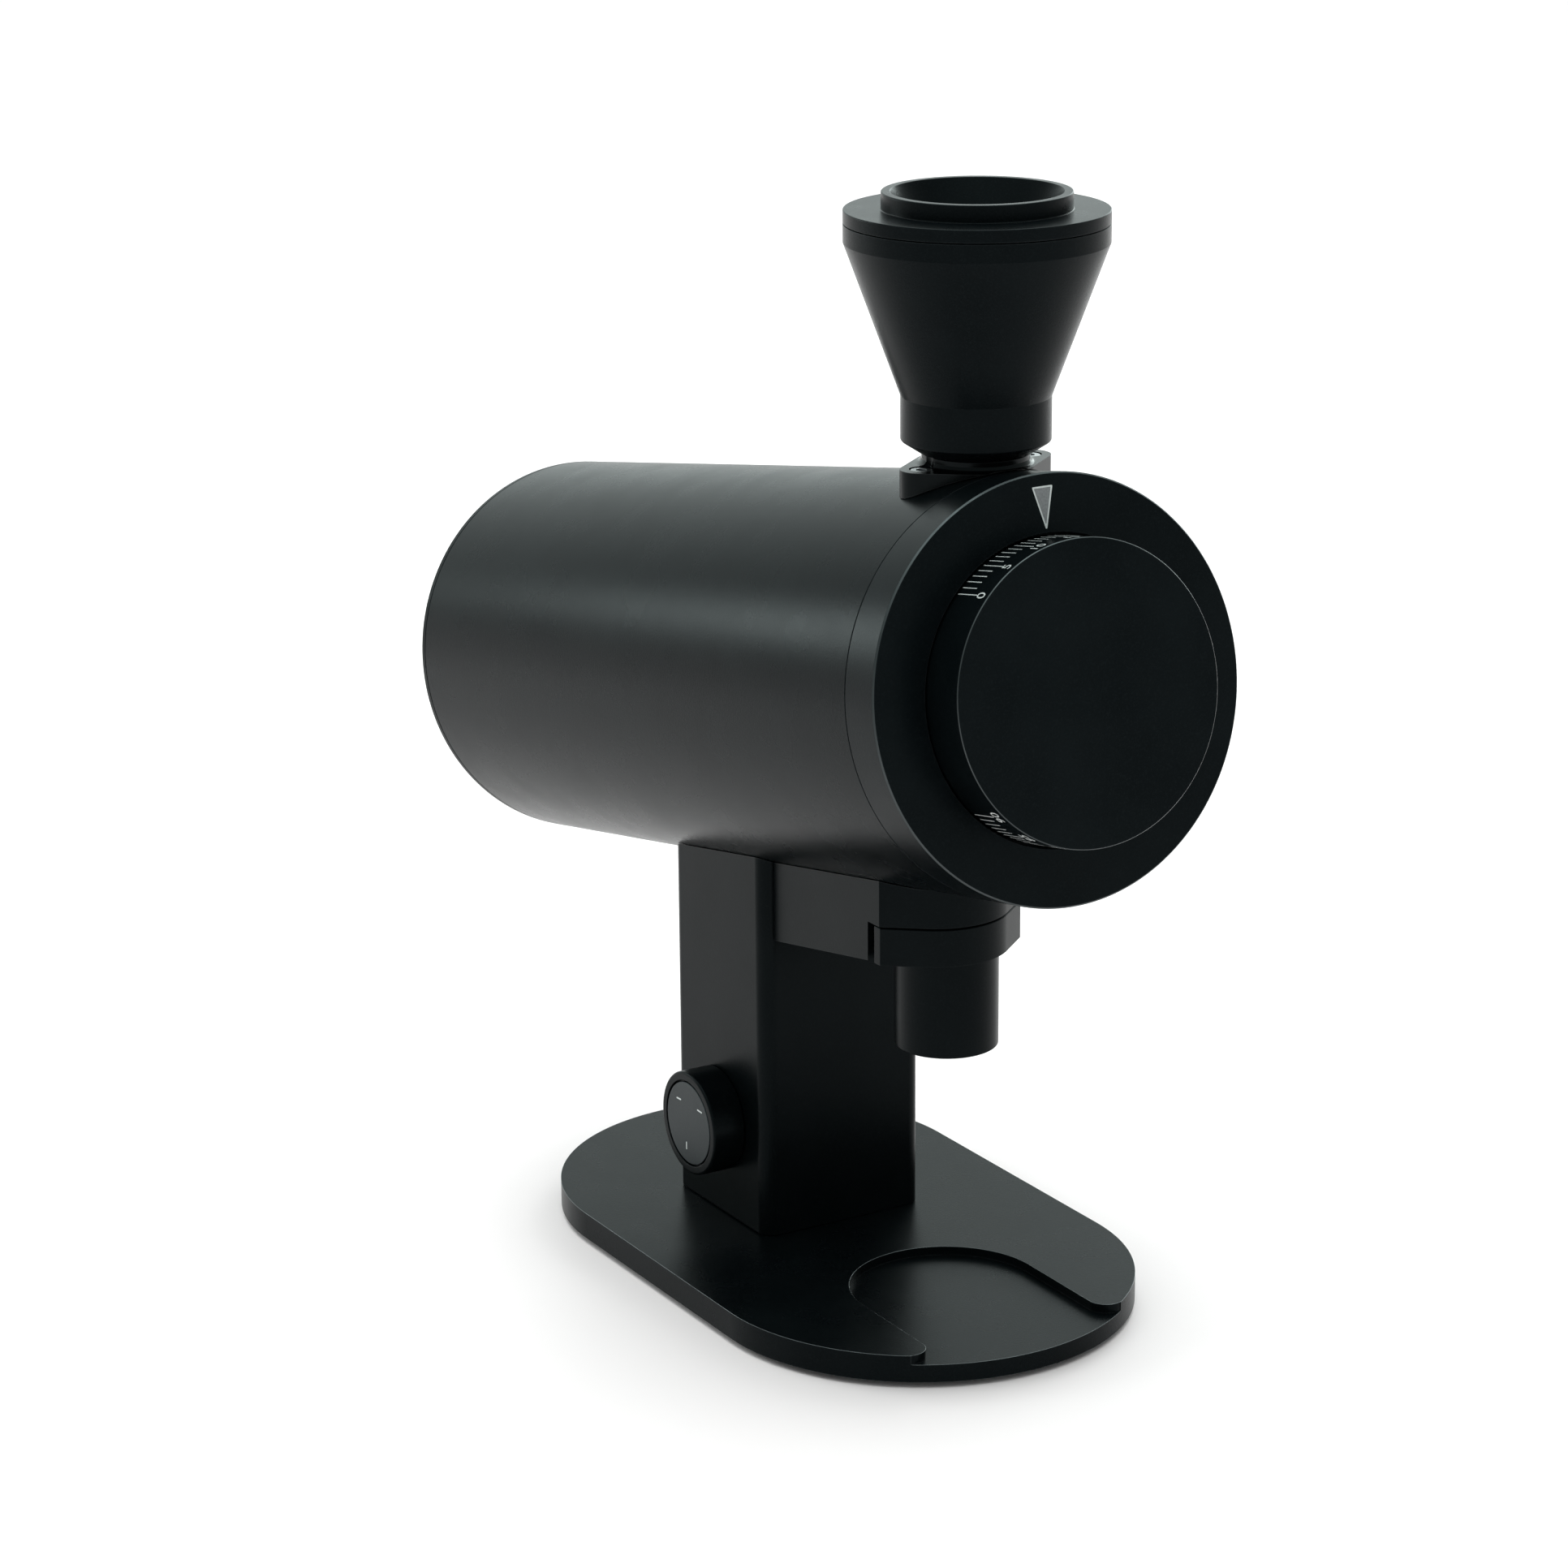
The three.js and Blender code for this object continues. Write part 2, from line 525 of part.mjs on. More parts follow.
function addRearCover() {
  const start = DRUM_LENGTH - COVER_THICK;
  const spigot = 8;
  const disc = solid(turned([
    [0, start], [58.2, start], [58.2, start - spigot], [CHAMBER_OUTER, start - spigot],
    [CHAMBER_OUTER, start], [DRUM_RADIUS, start], [DRUM_RADIUS, DRUM_LENGTH - 0.8],
    [DRUM_RADIUS - 0.8, DRUM_LENGTH], [0, DRUM_LENGTH]], FINE));
  const slots = around(12, 0, (degrees) => solid(spun(
    block(-1.8, 1.8, start - 1, DRUM_LENGTH + 1, 20, 42), degrees)));
  const screwHoles = around(3, POST_START, (degrees) => solid(spun(
    turned([[0, start - 1], [COVER_SCREW + GAP, start - 1], [COVER_SCREW + GAP, start + 0.6],
      [4.6, DRUM_LENGTH + 0.3], [4.6, DRUM_LENGTH + 1], [0, DRUM_LENGTH + 1]], SCREW)
      .translate(0, 0, POST_CIRCLE), degrees)));
  place(drum, 'rear_cover', cut(disc, ...slots, ...screwHoles), ANODISED());

  anglesOf(3, POST_START).forEach((degrees, i) => {
    const screw = solid(turned([[0, -14], [COVER_SCREW, -14], [COVER_SCREW, -2.1],
      [3.5, -0.4], [0, -0.4]], SCREW));
    const socket = solid(rod(1.5, -1.6, 1, 6));
    place(drum, `cover_screw_${i + 1}`, cut(screw, socket), STEEL(),
      onCircle(POST_CIRCLE, DRUM_LENGTH, degrees));
  });
}

function addFrontRing() {
  const mouth = DIAL_RADIUS + 0.8;
  const edge = 0.6;
  const shoulder = 6;
  const ring = solid(turned([
    [mouth + 0.3, 0], [DRUM_RADIUS - edge, 0], [DRUM_RADIUS, edge],
    [DRUM_RADIUS, RING_WIDTH], [DIAL_FLANGE + 0.5, RING_WIDTH],
    [DIAL_FLANGE + 0.5, shoulder], [mouth, shoulder], [mouth, 0.3]], FINE));
  place(drum, 'front_ring', ring, ANODISED());
}

function addDial() {
  const inside = DIAL_FRONT + DIAL_FACE;
  const flangeStart = 6.3;
  const flangeEnd = 10.3;
  const dial = solid(turned([
    [0, DIAL_FRONT], [DIAL_RADIUS - DIAL_CHAMFER, DIAL_FRONT],
    [DIAL_RADIUS, DIAL_FRONT + DIAL_CHAMFER], [DIAL_RADIUS, flangeStart],
    [DIAL_FLANGE, flangeStart], [DIAL_FLANGE, flangeEnd], [42, flangeEnd], [42, inside],
    [HUB_RADIUS, inside], [HUB_RADIUS, 14], [BOSS_RADIUS + 0.4, 14],
    [BOSS_RADIUS + 0.4, inside], [0, inside]], FINE));
  place(drum, 'dial', dial, ANODISED());
}

// ---- grinding chamber ---------------------------------------------------
const SPRING_CIRCLE = 47.3;
const SPRING_RADIUS = 2.5;
const SPRING_WIRE = 0.6;
const SPRING_POCKET = 3.6;
const SPRING_END = 40;
const SPRING_START_ANGLE = 60;
const BEARING_SEAT = 88.7;
const CHAMBER_HUB = 22;
const CHAMBER_END = 100;
const FRONT_BEARING = 16;
const BLIND_SCREW = [42, 80];         // collar screw holes stop short of the bore

function addChamber() {
  const body = solid(turned([
    [COUNTERBORE, 10.6], [DIAL_FLANGE + 0.2, 10.6], [DIAL_FLANGE + 0.2, RING_WIDTH + GAP],
    [CHAMBER_OUTER, RING_WIDTH + GAP], [CHAMBER_OUTER, BEARING_SEAT],
    [CHAMBER_HUB, BEARING_SEAT], [CHAMBER_HUB, CHAMBER_END],
    [FRONT_BEARING + GAP, CHAMBER_END], [FRONT_BEARING + GAP, BEARING_SEAT],
    [SHAFT_HOLE + 0.2, BEARING_SEAT], [SHAFT_HOLE + 0.2, CHAMBER_REAR],
    [CHAMBER_BORE, CHAMBER_REAR], [CHAMBER_BORE, COUNTERBORE_END],
    [COUNTERBORE, COUNTERBORE_END]], MEDIUM));
  const throat = uprightHole(THROAT, 0, HOPPER_BACK, UPPER_WALL, MEDIUM);
  const exit = uprightHole(EXIT_RADIUS, 0, SPOUT_BACK, LOWER_WALL);
  const pockets = around(3, SPRING_START_ANGLE, (degrees) => solid(spun(
    rod(SPRING_POCKET, COUNTERBORE_END - 1, SPRING_END, SCREW)
      .translate(0, 0, SPRING_CIRCLE), degrees)));
  const screws = [-1, 1].map((side) =>
    uprightHole(COLLAR_SHANK + GAP, side * COLLAR_SCREW_X, HOPPER_BACK, BLIND_SCREW));
  place(drum, 'grind_chamber', cut(body, throat, exit, ...pockets, ...screws), ALUMINIUM());
}

class Helix extends THREE.Curve {
  constructor(radius, length, turns) {
    super();
    this.radius = radius;
    this.length = length;
    this.turns = turns;
  }

  getPoint(t) {
    const angle = t * this.turns * 2 * Math.PI;
    return new THREE.Vector3(this.radius * Math.cos(angle), t * this.length,
      this.radius * Math.sin(angle));
  }
}

function addSprings() {
  const start = 24.2;
  const length = SPRING_END - GAP - start - 2 * SPRING_WIRE;
  const wire = new THREE.Shape().absarc(0, 0, SPRING_WIRE, 0, 2 * Math.PI, false);
  anglesOf(3, SPRING_START_ANGLE).forEach((degrees, i) => {
    const coil = solid(new THREE.ExtrudeGeometry(wire, {
      steps: 32,
      curveSegments: 2,
      extrudePath: new Helix(SPRING_RADIUS, length, 4),
    }));
    place(drum, `adjust_spring_${i + 1}`, coil, SPRING_STEEL(),
      onCircle(SPRING_CIRCLE, start + SPRING_WIRE, degrees));
  });
}

function addFrontCarrier() {
  const flangeStart = 18;
  const flangeEnd = 23.5;
  const feedStart = 28;
  const feedRadius = BURR_BORE;
  const rear = BURR_FRONT - GAP;
  const body = solid(turned([
    [0, -9], [BOSS_RADIUS, -9], [BOSS_RADIUS, flangeStart], [COUNTERBORE - 0.4, flangeStart],
    [COUNTERBORE - 0.4, flangeEnd], [CHAMBER_BORE - 0.4, flangeEnd],
    [CHAMBER_BORE - 0.4, rear], [feedRadius, rear], [feedRadius, feedStart],
    [0, feedStart]], MEDIUM));
  const feed = uprightHole(THROAT - 0.5, 0, HOPPER_BACK, [5, 80], MEDIUM);
  const screwHoles = burrScrewHoles(rear - 9, rear + 1, 0);
  place(drum, 'burr_carrier_front', cut(body, feed, ...screwHoles), ALUMINIUM());
}

// ---- burrs --------------------------------------------------------------
const BURR_SCREW = 1.8;
const BURR_SCREW_HEAD = 3.4;
const TOOTH_DEPTH = 2.2;
const TOOTH_TAPER = 3.2;

function burrScrewHoles(from, to, start) {
  return around(BURR_SCREWS, start, (degrees) => solid(spun(
    rod(BURR_SCREW + GAP, from, to, SCREW).translate(0, 0, BURR_SCREW_CIRCLE), degrees)));
}

// Burr with its back at y = 0 and its teeth facing +Y.
function burr(start) {
  const ring = solid(turned([
    [BURR_BORE, 0], [BURR_RADIUS, 0], [BURR_RADIUS, BURR_THICK],
    [BURR_RADIUS - 7, BURR_THICK], [BURR_BORE + 2, BURR_THICK - TOOTH_TAPER],
    [BURR_BORE, BURR_THICK - TOOTH_TAPER]], MEDIUM));
  const grooves = around(BURR_SLOTS, 0, (degrees) => solid(spun(
    new THREE.BoxGeometry(1.6, TOOTH_DEPTH, 40)
      .rotateZ(Math.PI / 4)
      .rotateX(THREE.MathUtils.degToRad(9))
      .rotateY(THREE.MathUtils.degToRad(22))
      .translate(0, BURR_THICK - 0.4, 35), degrees)));
  const seats = around(BURR_SCREWS, start, (degrees) => solid(spun(
    turned([[0, -1], [BURR_SCREW + GAP, -1], [BURR_SCREW + GAP, 2],
      [BURR_SCREW_HEAD + 0.5, 4], [BURR_SCREW_HEAD + 0.5, BURR_THICK + 1],
      [0, BURR_THICK + 1]], SCREW).translate(0, 0, BURR_SCREW_CIRCLE), degrees)));
  return cut(ring, ...grooves, ...seats);
}

// Countersunk burr screw, head towards +Y, tip towards -Y.
function burrScrew() {
  const screw = solid(turned([[0, -6], [BURR_SCREW, -6], [BURR_SCREW, 2.3],
    [BURR_SCREW_HEAD, 4.3], [0, 4.3]], SCREW));
  return cut(screw, solid(rod(1.4, 2.6, 6, 6)));
}

function addBurrs() {
  place(drum, 'burr_front', burr(0), BURR_STEEL(), [0, BURR_FRONT, 0]);
  const rearBack = BURR_REAR + BURR_THICK;
  place(drum, 'burr_rear', burr(0), BURR_STEEL(), [0, rearBack, 0], [180, 0, 0]);
  anglesOf(BURR_SCREWS, 0).forEach((degrees, i) => {
    const [x, y, z] = onCircle(BURR_SCREW_CIRCLE, BURR_FRONT, degrees);
    place(drum, `burr_front_screw_${i + 1}`, burrScrew(), STEEL(), [x, y, z]);
    place(drum, `burr_rear_screw_${i + 1}`, burrScrew(), STEEL(),
      [x, rearBack, -z], [180, 0, 0]);
  });
  addRearCarrier(rearBack + GAP);
}

// Turning disc behind the rear burr, with wipers, and the auger on its hub.
function addRearCarrier(discStart) {
  const discEnd = discStart + 6;
  const disc = solid(turned([
    [SHAFT_HOLE, discStart - 5], [BURR_BORE - 0.4, discStart - 5],
    [BURR_BORE - 0.4, discStart], [BURR_RADIUS, discStart], [BURR_RADIUS, discEnd],
    [SHAFT_HOLE, discEnd]], MEDIUM));
  const wipers = around(4, 45, (degrees) => solid(spun(
    block(-2.5, 2.5, discStart, discEnd, BURR_RADIUS - 2, CHAMBER_BORE - 0.5), degrees)));
  const holes = burrScrewHoles(discStart - 1, discEnd + 1, 180);
  place(drum, 'burr_carrier_rear', cut(join(disc, ...wipers), ...holes), ALUMINIUM());

  const augerEnd = discStart - 5 - GAP;
  const core = solid(turned([[0, 46], [4, 46], [8.5, 52], [8.5, augerEnd],
    [SHAFT_HOLE, augerEnd], [SHAFT_HOLE, 56], [0, 56]], COARSE));
  const blades = around(2, 0, (degrees) => solid(spun(
    block(-1.5, 1.5, 49, 61, 7, 18), degrees)));
  place(drum, 'feed_auger', join(core, ...blades), STEEL());
}

// ---- shaft, bearings, motor, fan ---------------------------------------
const MOTOR_START = 102;
const MOTOR_END = 228;
const CAN_OUTER = 54;
const CAN_INNER = 51;
const STACK_START = 125;
const STACK_END = 205;
const STATOR_BORE = 29;
const STATOR_SLOTS = 12;
const SLOT_OUTER = 43;
const REAR_BEARING = 14;
const PLATE_START = MOTOR_END + GAP;
const PLATE_END = PLATE_START + 6;
const POST_RADIUS = 5.5;

function addDrive() {
  place(drum, 'shaft', solid(rod(SHAFT_RADIUS, 56.3, 262, COARSE)), STEEL());
  place(drum, 'bearing_front',
    solid(sleeve(SHAFT_HOLE, FRONT_BEARING, BEARING_SEAT + GAP, 99, MEDIUM)), STEEL());
  place(drum, 'bearing_rear',
    solid(sleeve(SHAFT_HOLE, REAR_BEARING, PLATE_END + 2, PLATE_END + 11, MEDIUM)), STEEL());

  const can = solid(turned([
    [SHAFT_HOLE + 1, MOTOR_START], [CAN_OUTER, MOTOR_START], [CAN_OUTER, MOTOR_END],
    [CAN_INNER, MOTOR_END], [CAN_INNER, MOTOR_START + 4],
    [SHAFT_HOLE + 1, MOTOR_START + 4]], MEDIUM));
  place(drum, 'motor_can', can, STEEL());

  const rotor = solid(sleeve(SHAFT_HOLE, STATOR_BORE - 0.6, STACK_START, STACK_END, MEDIUM));
  place(drum, 'rotor', rotor, LAMINATION());

  const slotHalf = 3.2;
  const stack = solid(sleeve(STATOR_BORE, CAN_INNER - GAP, STACK_START, STACK_END, MEDIUM));
  const slots = around(STATOR_SLOTS, 0, (degrees) => solid(spun(
    block(-slotHalf, slotHalf, STACK_START - 1, STACK_END + 1, STATOR_BORE - 2, SLOT_OUTER),
    degrees)));
  place(drum, 'stator', cut(stack, ...slots), LAMINATION());

  const barHalf = slotHalf - GAP;
  const turnLength = 7;
  const endRings = [STACK_START - GAP - turnLength, STACK_END + GAP].map((from) => solid(
    sleeve(STATOR_BORE + 1.5, SLOT_OUTER - GAP, from, from + turnLength, MEDIUM)));
  const bars = around(STATOR_SLOTS, 0, (degrees) => solid(spun(
    block(-barHalf, barHalf, STACK_START - 4, STACK_END + 4, STATOR_BORE + 2,
      SLOT_OUTER - 2 * GAP), degrees)));
  place(drum, 'stator_winding', join(...endRings, ...bars), COPPER());
}

function addMotorPlate() {
  const hub = 20;
  const hubEnd = PLATE_END + 12;
  const disc = solid(turned([
    [SHAFT_HOLE + 0.4, PLATE_START], [CHAMBER_OUTER, PLATE_START],
    [CHAMBER_OUTER, PLATE_END], [hub, PLATE_END], [hub, hubEnd],
    [REAR_BEARING + GAP, hubEnd], [REAR_BEARING + GAP, PLATE_END + 1.7],
    [SHAFT_HOLE + 0.4, PLATE_END + 1.7]], MEDIUM));
  const posts = around(3, POST_START, (degrees) => solid(spun(
    rod(POST_RADIUS, PLATE_END - 1, SHELL_END, SCREW).translate(0, 0, POST_CIRCLE), degrees)));
  const threads = around(3, POST_START, (degrees) => solid(spun(
    rod(COVER_SCREW + GAP, SHELL_END - 15, SHELL_END + 1, SCREW)
      .translate(0, 0, POST_CIRCLE), degrees)));
  const vents = around(6, 0, (degrees) => solid(spun(
    rod(6, PLATE_START - 1, PLATE_END + 1, SCREW).translate(0, 0, 34), degrees)));
  place(drum, 'motor_rear_plate', cut(join(disc, ...posts), ...threads, ...vents), ALUMINIUM());
}

function addFan() {
  const fanStart = 250;
  const fanRadius = 43;
  const hubBody = solid(sleeve(SHAFT_HOLE, 12, fanStart, fanStart + 10, COARSE));
  const blades = around(7, 0, (degrees) => solid(spun(
    block(-1, 1, -5, 5, 10, fanRadius).rotateZ(THREE.MathUtils.degToRad(35))
      .translate(0, fanStart + 5, 0), degrees)));
  const blank = solid(sleeve(SHAFT_HOLE, fanRadius, fanStart + 0.5, fanStart + 9.5, MEDIUM));
  const trimmed = blades.map((blade) => blade.intersect(blank));
  place(drum, 'fan', join(hubBody, ...trimmed), PLASTIC());
}

// ---- hopper -------------------------------------------------------------
const COLLAR_TOP = 60.9;
const COLLAR_RADIUS = 18.5;
const COLLAR_EAR = 6.5;
const COLLAR_SCREW_X = 19.5;
const COLLAR_SHANK = 1.8;
const COLLAR_HEAD = 3.4;
const COLLAR_BOSS = 16.5;
const BOSS_TOP = 64.2;
const HOPPER_BORE = 13.5;

// Outline of the two-eared collar: a round middle joined to an ear each side.
function collarShape() {
  const lean = Math.asin((COLLAR_RADIUS - COLLAR_EAR) / COLLAR_SCREW_X);
  const shape = new THREE.Shape();
  shape.absarc(COLLAR_SCREW_X, 0, COLLAR_EAR, -Math.PI / 2 + lean, Math.PI / 2 - lean, false);
  shape.absarc(0, 0, COLLAR_RADIUS, Math.PI / 2 - lean, Math.PI / 2 + lean, false);
  shape.absarc(-COLLAR_SCREW_X, 0, COLLAR_EAR, Math.PI / 2 + lean,
    Math.PI * 3 / 2 - lean, false);
  shape.absarc(0, 0, COLLAR_RADIUS, Math.PI * 3 / 2 - lean, Math.PI * 3 / 2 + lean, false);
  return shape;
}

function addCollar() {
  const skirt = solid(extruded(collarShape(), 30, COLLAR_TOP, 5));
  const rise = solid(turnedUp([[0, COLLAR_TOP - 2], [COLLAR_RADIUS, COLLAR_TOP - 2],
    [COLLAR_RADIUS, COLLAR_TOP], [COLLAR_BOSS + 0.8, COLLAR_TOP + 0.6],
    [COLLAR_BOSS, COLLAR_TOP + 1.6], [COLLAR_BOSS, BOSS_TOP], [0, BOSS_TOP]], MEDIUM));
  const bore = solid(rodUp(SOCKET_RADIUS, 30, 80, MEDIUM));
  const seats = [-1, 1].flatMap((side) => [
    solid(rodUp(COLLAR_SHANK + GAP, 30, 80, SCREW).translate(side * COLLAR_SCREW_X, 0, 0)),
    solid(rodUp(COLLAR_HEAD + GAP, COLLAR_TOP - 2.6, 80, SCREW)
      .translate(side * COLLAR_SCREW_X, 0, 0)),
  ]);
  const drumHere = drumTool().translate([0, -HOPPER_BACK, 0]);
  place(upright, 'hopper_collar', cut(join(skirt, rise), drumHere, bore, ...seats),
    POLISHED(), [0, HOPPER_BACK, 0]);

  for (const [name, side] of [['collar_screw_left', -1], ['collar_screw_right', 1]]) {
    const screw = boltUp(COLLAR_SHANK, 12, COLLAR_HEAD, 2.1);
    place(upright, name, screw, STEEL(),
      [side * COLLAR_SCREW_X, HOPPER_BACK, COLLAR_TOP - 0.2], [180, 0, 0]);
  }
}

const SOCKET_RADIUS = 15.6;
const PLUG_RADIUS = 15.2;
const PLUG_BOTTOM = 57;
const NECK_RADIUS = 22.8;
const NECK_BOTTOM = 68;
const NECK_TOP = 81.5;
const CONE_TOP = 127.7;
const RIM_FLANGE_RADIUS = 39.9;
const HOPPER_TOP = 133.3;
const HOPPER_WALL = 2.6;
const FLANGE_TOP = 137.5;
const RIM_RADIUS = 28.6;
const RIM_TOP = 142.8;
const FUNNEL_MOUTH = 25.7;
const FUNNEL_THROAT = 21.4;

function addHopper() {
  const innerTop = RIM_FLANGE_RADIUS - HOPPER_WALL;
  const body = solid(turnedUp([
    [HOPPER_BORE, PLUG_BOTTOM], [PLUG_RADIUS, PLUG_BOTTOM], [PLUG_RADIUS, BOSS_TOP + GAP],
    [17.4, BOSS_TOP + GAP], [NECK_RADIUS, NECK_BOTTOM], [NECK_RADIUS, NECK_TOP],
    [RIM_FLANGE_RADIUS, CONE_TOP], [RIM_FLANGE_RADIUS, HOPPER_TOP], [innerTop, HOPPER_TOP],
    [innerTop, CONE_TOP], [NECK_RADIUS - HOPPER_WALL, NECK_TOP],
    [HOPPER_BORE, NECK_TOP - 7]], MEDIUM));
  place(upright, 'hopper', body, ANODISED(), [0, HOPPER_BACK, 0]);

  const spigot = innerTop - 0.4;
  const ring = solid(turnedUp([
    [spigot - 2.4, HOPPER_TOP - 4], [spigot, HOPPER_TOP - 4], [spigot, HOPPER_TOP + GAP],
    [RIM_FLANGE_RADIUS, HOPPER_TOP + GAP], [RIM_FLANGE_RADIUS, FLANGE_TOP - 0.4],
    [RIM_FLANGE_RADIUS - 0.4, FLANGE_TOP], [RIM_RADIUS, FLANGE_TOP],
    [RIM_RADIUS, RIM_TOP - 0.6], [RIM_RADIUS - 0.6, RIM_TOP],
    [FUNNEL_MOUTH + 0.3, RIM_TOP], [FUNNEL_MOUTH, RIM_TOP - 0.3],
    [FUNNEL_THROAT, FLANGE_TOP - 2.6], [FUNNEL_THROAT, FLANGE_TOP - 3.8],
    [FUNNEL_THROAT + 1.8, FLANGE_TOP - 3.8], [FUNNEL_THROAT + 3.2, FLANGE_TOP - 2.4],
    [spigot - 2.4, FLANGE_TOP - 2.4]], MEDIUM));
  place(upright, 'hopper_ring', ring, ANODISED(), [0, HOPPER_BACK, 0]);
}

// ---- chute --------------------------------------------------------------
// Plan of the block and the nozzle: straight sides, flats that narrow, a round nose.
function noseShape(half, rear) {
  const tangent = NOSE_RADIUS * Math.sin(NOSE_ANGLE);
  const corner = NOSE_CENTRE - NOSE_RADIUS * Math.cos(NOSE_ANGLE)
    + (half - tangent) * Math.tan(NOSE_ANGLE);
  const front = Math.PI * 3 / 2;
  const shape = new THREE.Shape();
  shape.moveTo(half, rear);
  shape.lineTo(-half, rear);
  shape.lineTo(-half, corner);
  shape.absarc(0, NOSE_CENTRE, NOSE_RADIUS, front - NOSE_ANGLE, front + NOSE_ANGLE, false);
  shape.lineTo(half, corner);
  return shape;
}

const SLOT_REAR = 65.9;
const NOZZLE_REAR = 62.6;
const SEAM_GAP = 0.5;
const FLAP_RADIUS = 15.1;

function addChute() {
  const rear = COLUMN_FRONT - GAP;
  const upper = solid(extruded(noseShape(BLOCK_HALF, rear), SEAM_LEVEL, -20, 14));
  const lower = cut(
    solid(block(-BLOCK_HALF, BLOCK_HALF, SLOT_REAR, rear, -BIG, SEAM_LEVEL)),
    solid(outOfDrum(block(-BIG, BIG, -BIG, BIG, -BIG * 2, BLOCK_BOTTOM))),
    solid(rodUp(SPOUT_RADIUS + 0.6, -BIG, SEAM_LEVEL, MEDIUM).translate(0, SPOUT_BACK, 0)));
  const bore = solid(rodUp(SPOUT_BORE, -BIG, 0, MEDIUM).translate(0, SPOUT_BACK, 0));
  const flapSeat = solid(rodUp(FLAP_RADIUS + GAP, SEAM_LEVEL - 1, SEAM_LEVEL + 2)
    .translate(0, SPOUT_BACK, 0));
  place(upright, 'chute_block', cut(join(upper, lower), drumTool(), bore, flapSeat),
    PLASTIC());

  const slits = [0, 90].map((degrees) => solid(
    new THREE.BoxGeometry(1, 24, 4).rotateZ(THREE.MathUtils.degToRad(degrees + 45))));
  const flap = cut(solid(rodUp(FLAP_RADIUS, -0.6, 0.6)), ...slits);
  place(upright, 'declumper', flap, RUBBER(), [0, SPOUT_BACK, SEAM_LEVEL + 1]);

  const cap = solid(extruded(noseShape(NOZZLE_HALF, NOZZLE_REAR), NOZZLE_BOTTOM,
    SEAM_LEVEL - SEAM_GAP, 14));
  const spout = solid(turnedUp([
    [0, SPOUT_BOTTOM], [SPOUT_RADIUS - 0.4, SPOUT_BOTTOM], [SPOUT_RADIUS, SPOUT_BOTTOM + 0.4],
    [SPOUT_RADIUS, NOZZLE_BOTTOM + 4], [0, NOZZLE_BOTTOM + 4]], MEDIUM)
    .translate(0, SPOUT_BACK, 0));
  const spoutBore = solid(rodUp(SPOUT_BORE, -BIG, 0, MEDIUM).translate(0, SPOUT_BACK, 0));
  place(upright, 'chute_nozzle', cut(join(cap, spout), spoutBore), PLASTIC());
}

// ---- assembly -----------------------------------------------------------
addBase();
addColumn();
addInlet();
addControls();
addDrumShell();
addRearCover();
addFrontRing();
addDial();
addChamber();
addSprings();
addFrontCarrier();
addBurrs();
addDrive();
addMotorPlate();
addFan();
addCollar();
addHopper();
addChute();

drum.name = 'drum_frame';
drum.rotation.x = -THREE.MathUtils.degToRad(DRUM_TILT);
upright.name = 'upright_frame';

const grinder = new THREE.Group();
grinder.name = 'coffee_grinder';
grinder.position.set(0, -ORIGIN_BACK, AXIS_HEIGHT);
grinder.add(upright, drum);

export default grinder;
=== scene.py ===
import json
import math

import bmesh
import bpy
from mathutils import Matrix, Vector


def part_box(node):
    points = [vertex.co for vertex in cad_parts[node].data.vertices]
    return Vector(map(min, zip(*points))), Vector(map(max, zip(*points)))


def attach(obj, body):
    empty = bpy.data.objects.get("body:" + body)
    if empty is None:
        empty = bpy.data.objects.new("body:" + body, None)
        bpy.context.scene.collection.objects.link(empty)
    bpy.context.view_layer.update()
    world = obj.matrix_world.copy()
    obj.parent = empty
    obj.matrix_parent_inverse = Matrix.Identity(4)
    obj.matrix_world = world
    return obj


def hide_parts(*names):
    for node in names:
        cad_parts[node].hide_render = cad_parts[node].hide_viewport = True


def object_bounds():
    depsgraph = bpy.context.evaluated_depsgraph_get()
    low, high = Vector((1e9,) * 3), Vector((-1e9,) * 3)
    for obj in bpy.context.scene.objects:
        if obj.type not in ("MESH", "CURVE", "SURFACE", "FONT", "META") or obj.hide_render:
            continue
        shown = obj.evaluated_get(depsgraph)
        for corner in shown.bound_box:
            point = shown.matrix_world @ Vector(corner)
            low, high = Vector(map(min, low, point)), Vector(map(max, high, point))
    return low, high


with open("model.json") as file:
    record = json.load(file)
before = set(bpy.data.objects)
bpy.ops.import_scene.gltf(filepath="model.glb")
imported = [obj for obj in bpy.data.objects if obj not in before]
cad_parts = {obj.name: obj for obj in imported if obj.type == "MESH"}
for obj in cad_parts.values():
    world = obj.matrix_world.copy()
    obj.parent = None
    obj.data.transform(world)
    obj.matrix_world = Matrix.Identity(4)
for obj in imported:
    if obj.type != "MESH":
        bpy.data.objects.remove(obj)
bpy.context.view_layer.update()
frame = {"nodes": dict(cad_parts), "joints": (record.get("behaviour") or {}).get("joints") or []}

# ---- frames -------------------------------------------------------------
# Pieces are drawn in millimetres in one of two frames that share an origin,
# the middle of the index ring's front face: UPRIGHT keeps the CAD's axes and
# DRUM has +Y along the drum axis, away from the dial. An outline is a drawing:
# its numbers are read off the section and stay in it.
MM = 0.001
joints = {j["name"]: j for j in frame["joints"]}
ORIGIN = Vector(joints["dial_turn"]["pos_m"])
AXIS = Vector(joints["dial_turn"]["axis"]).normalized()
SIDE = Vector((1, 0, 0))
UP = SIDE.cross(AXIS)
UPRIGHT = Matrix.Translation(ORIGIN)
DRUM = UPRIGHT @ Matrix((SIDE, AXIS, UP)).transposed().to_4x4()
TILT = math.atan2(-AXIS.z, AXIS.y)


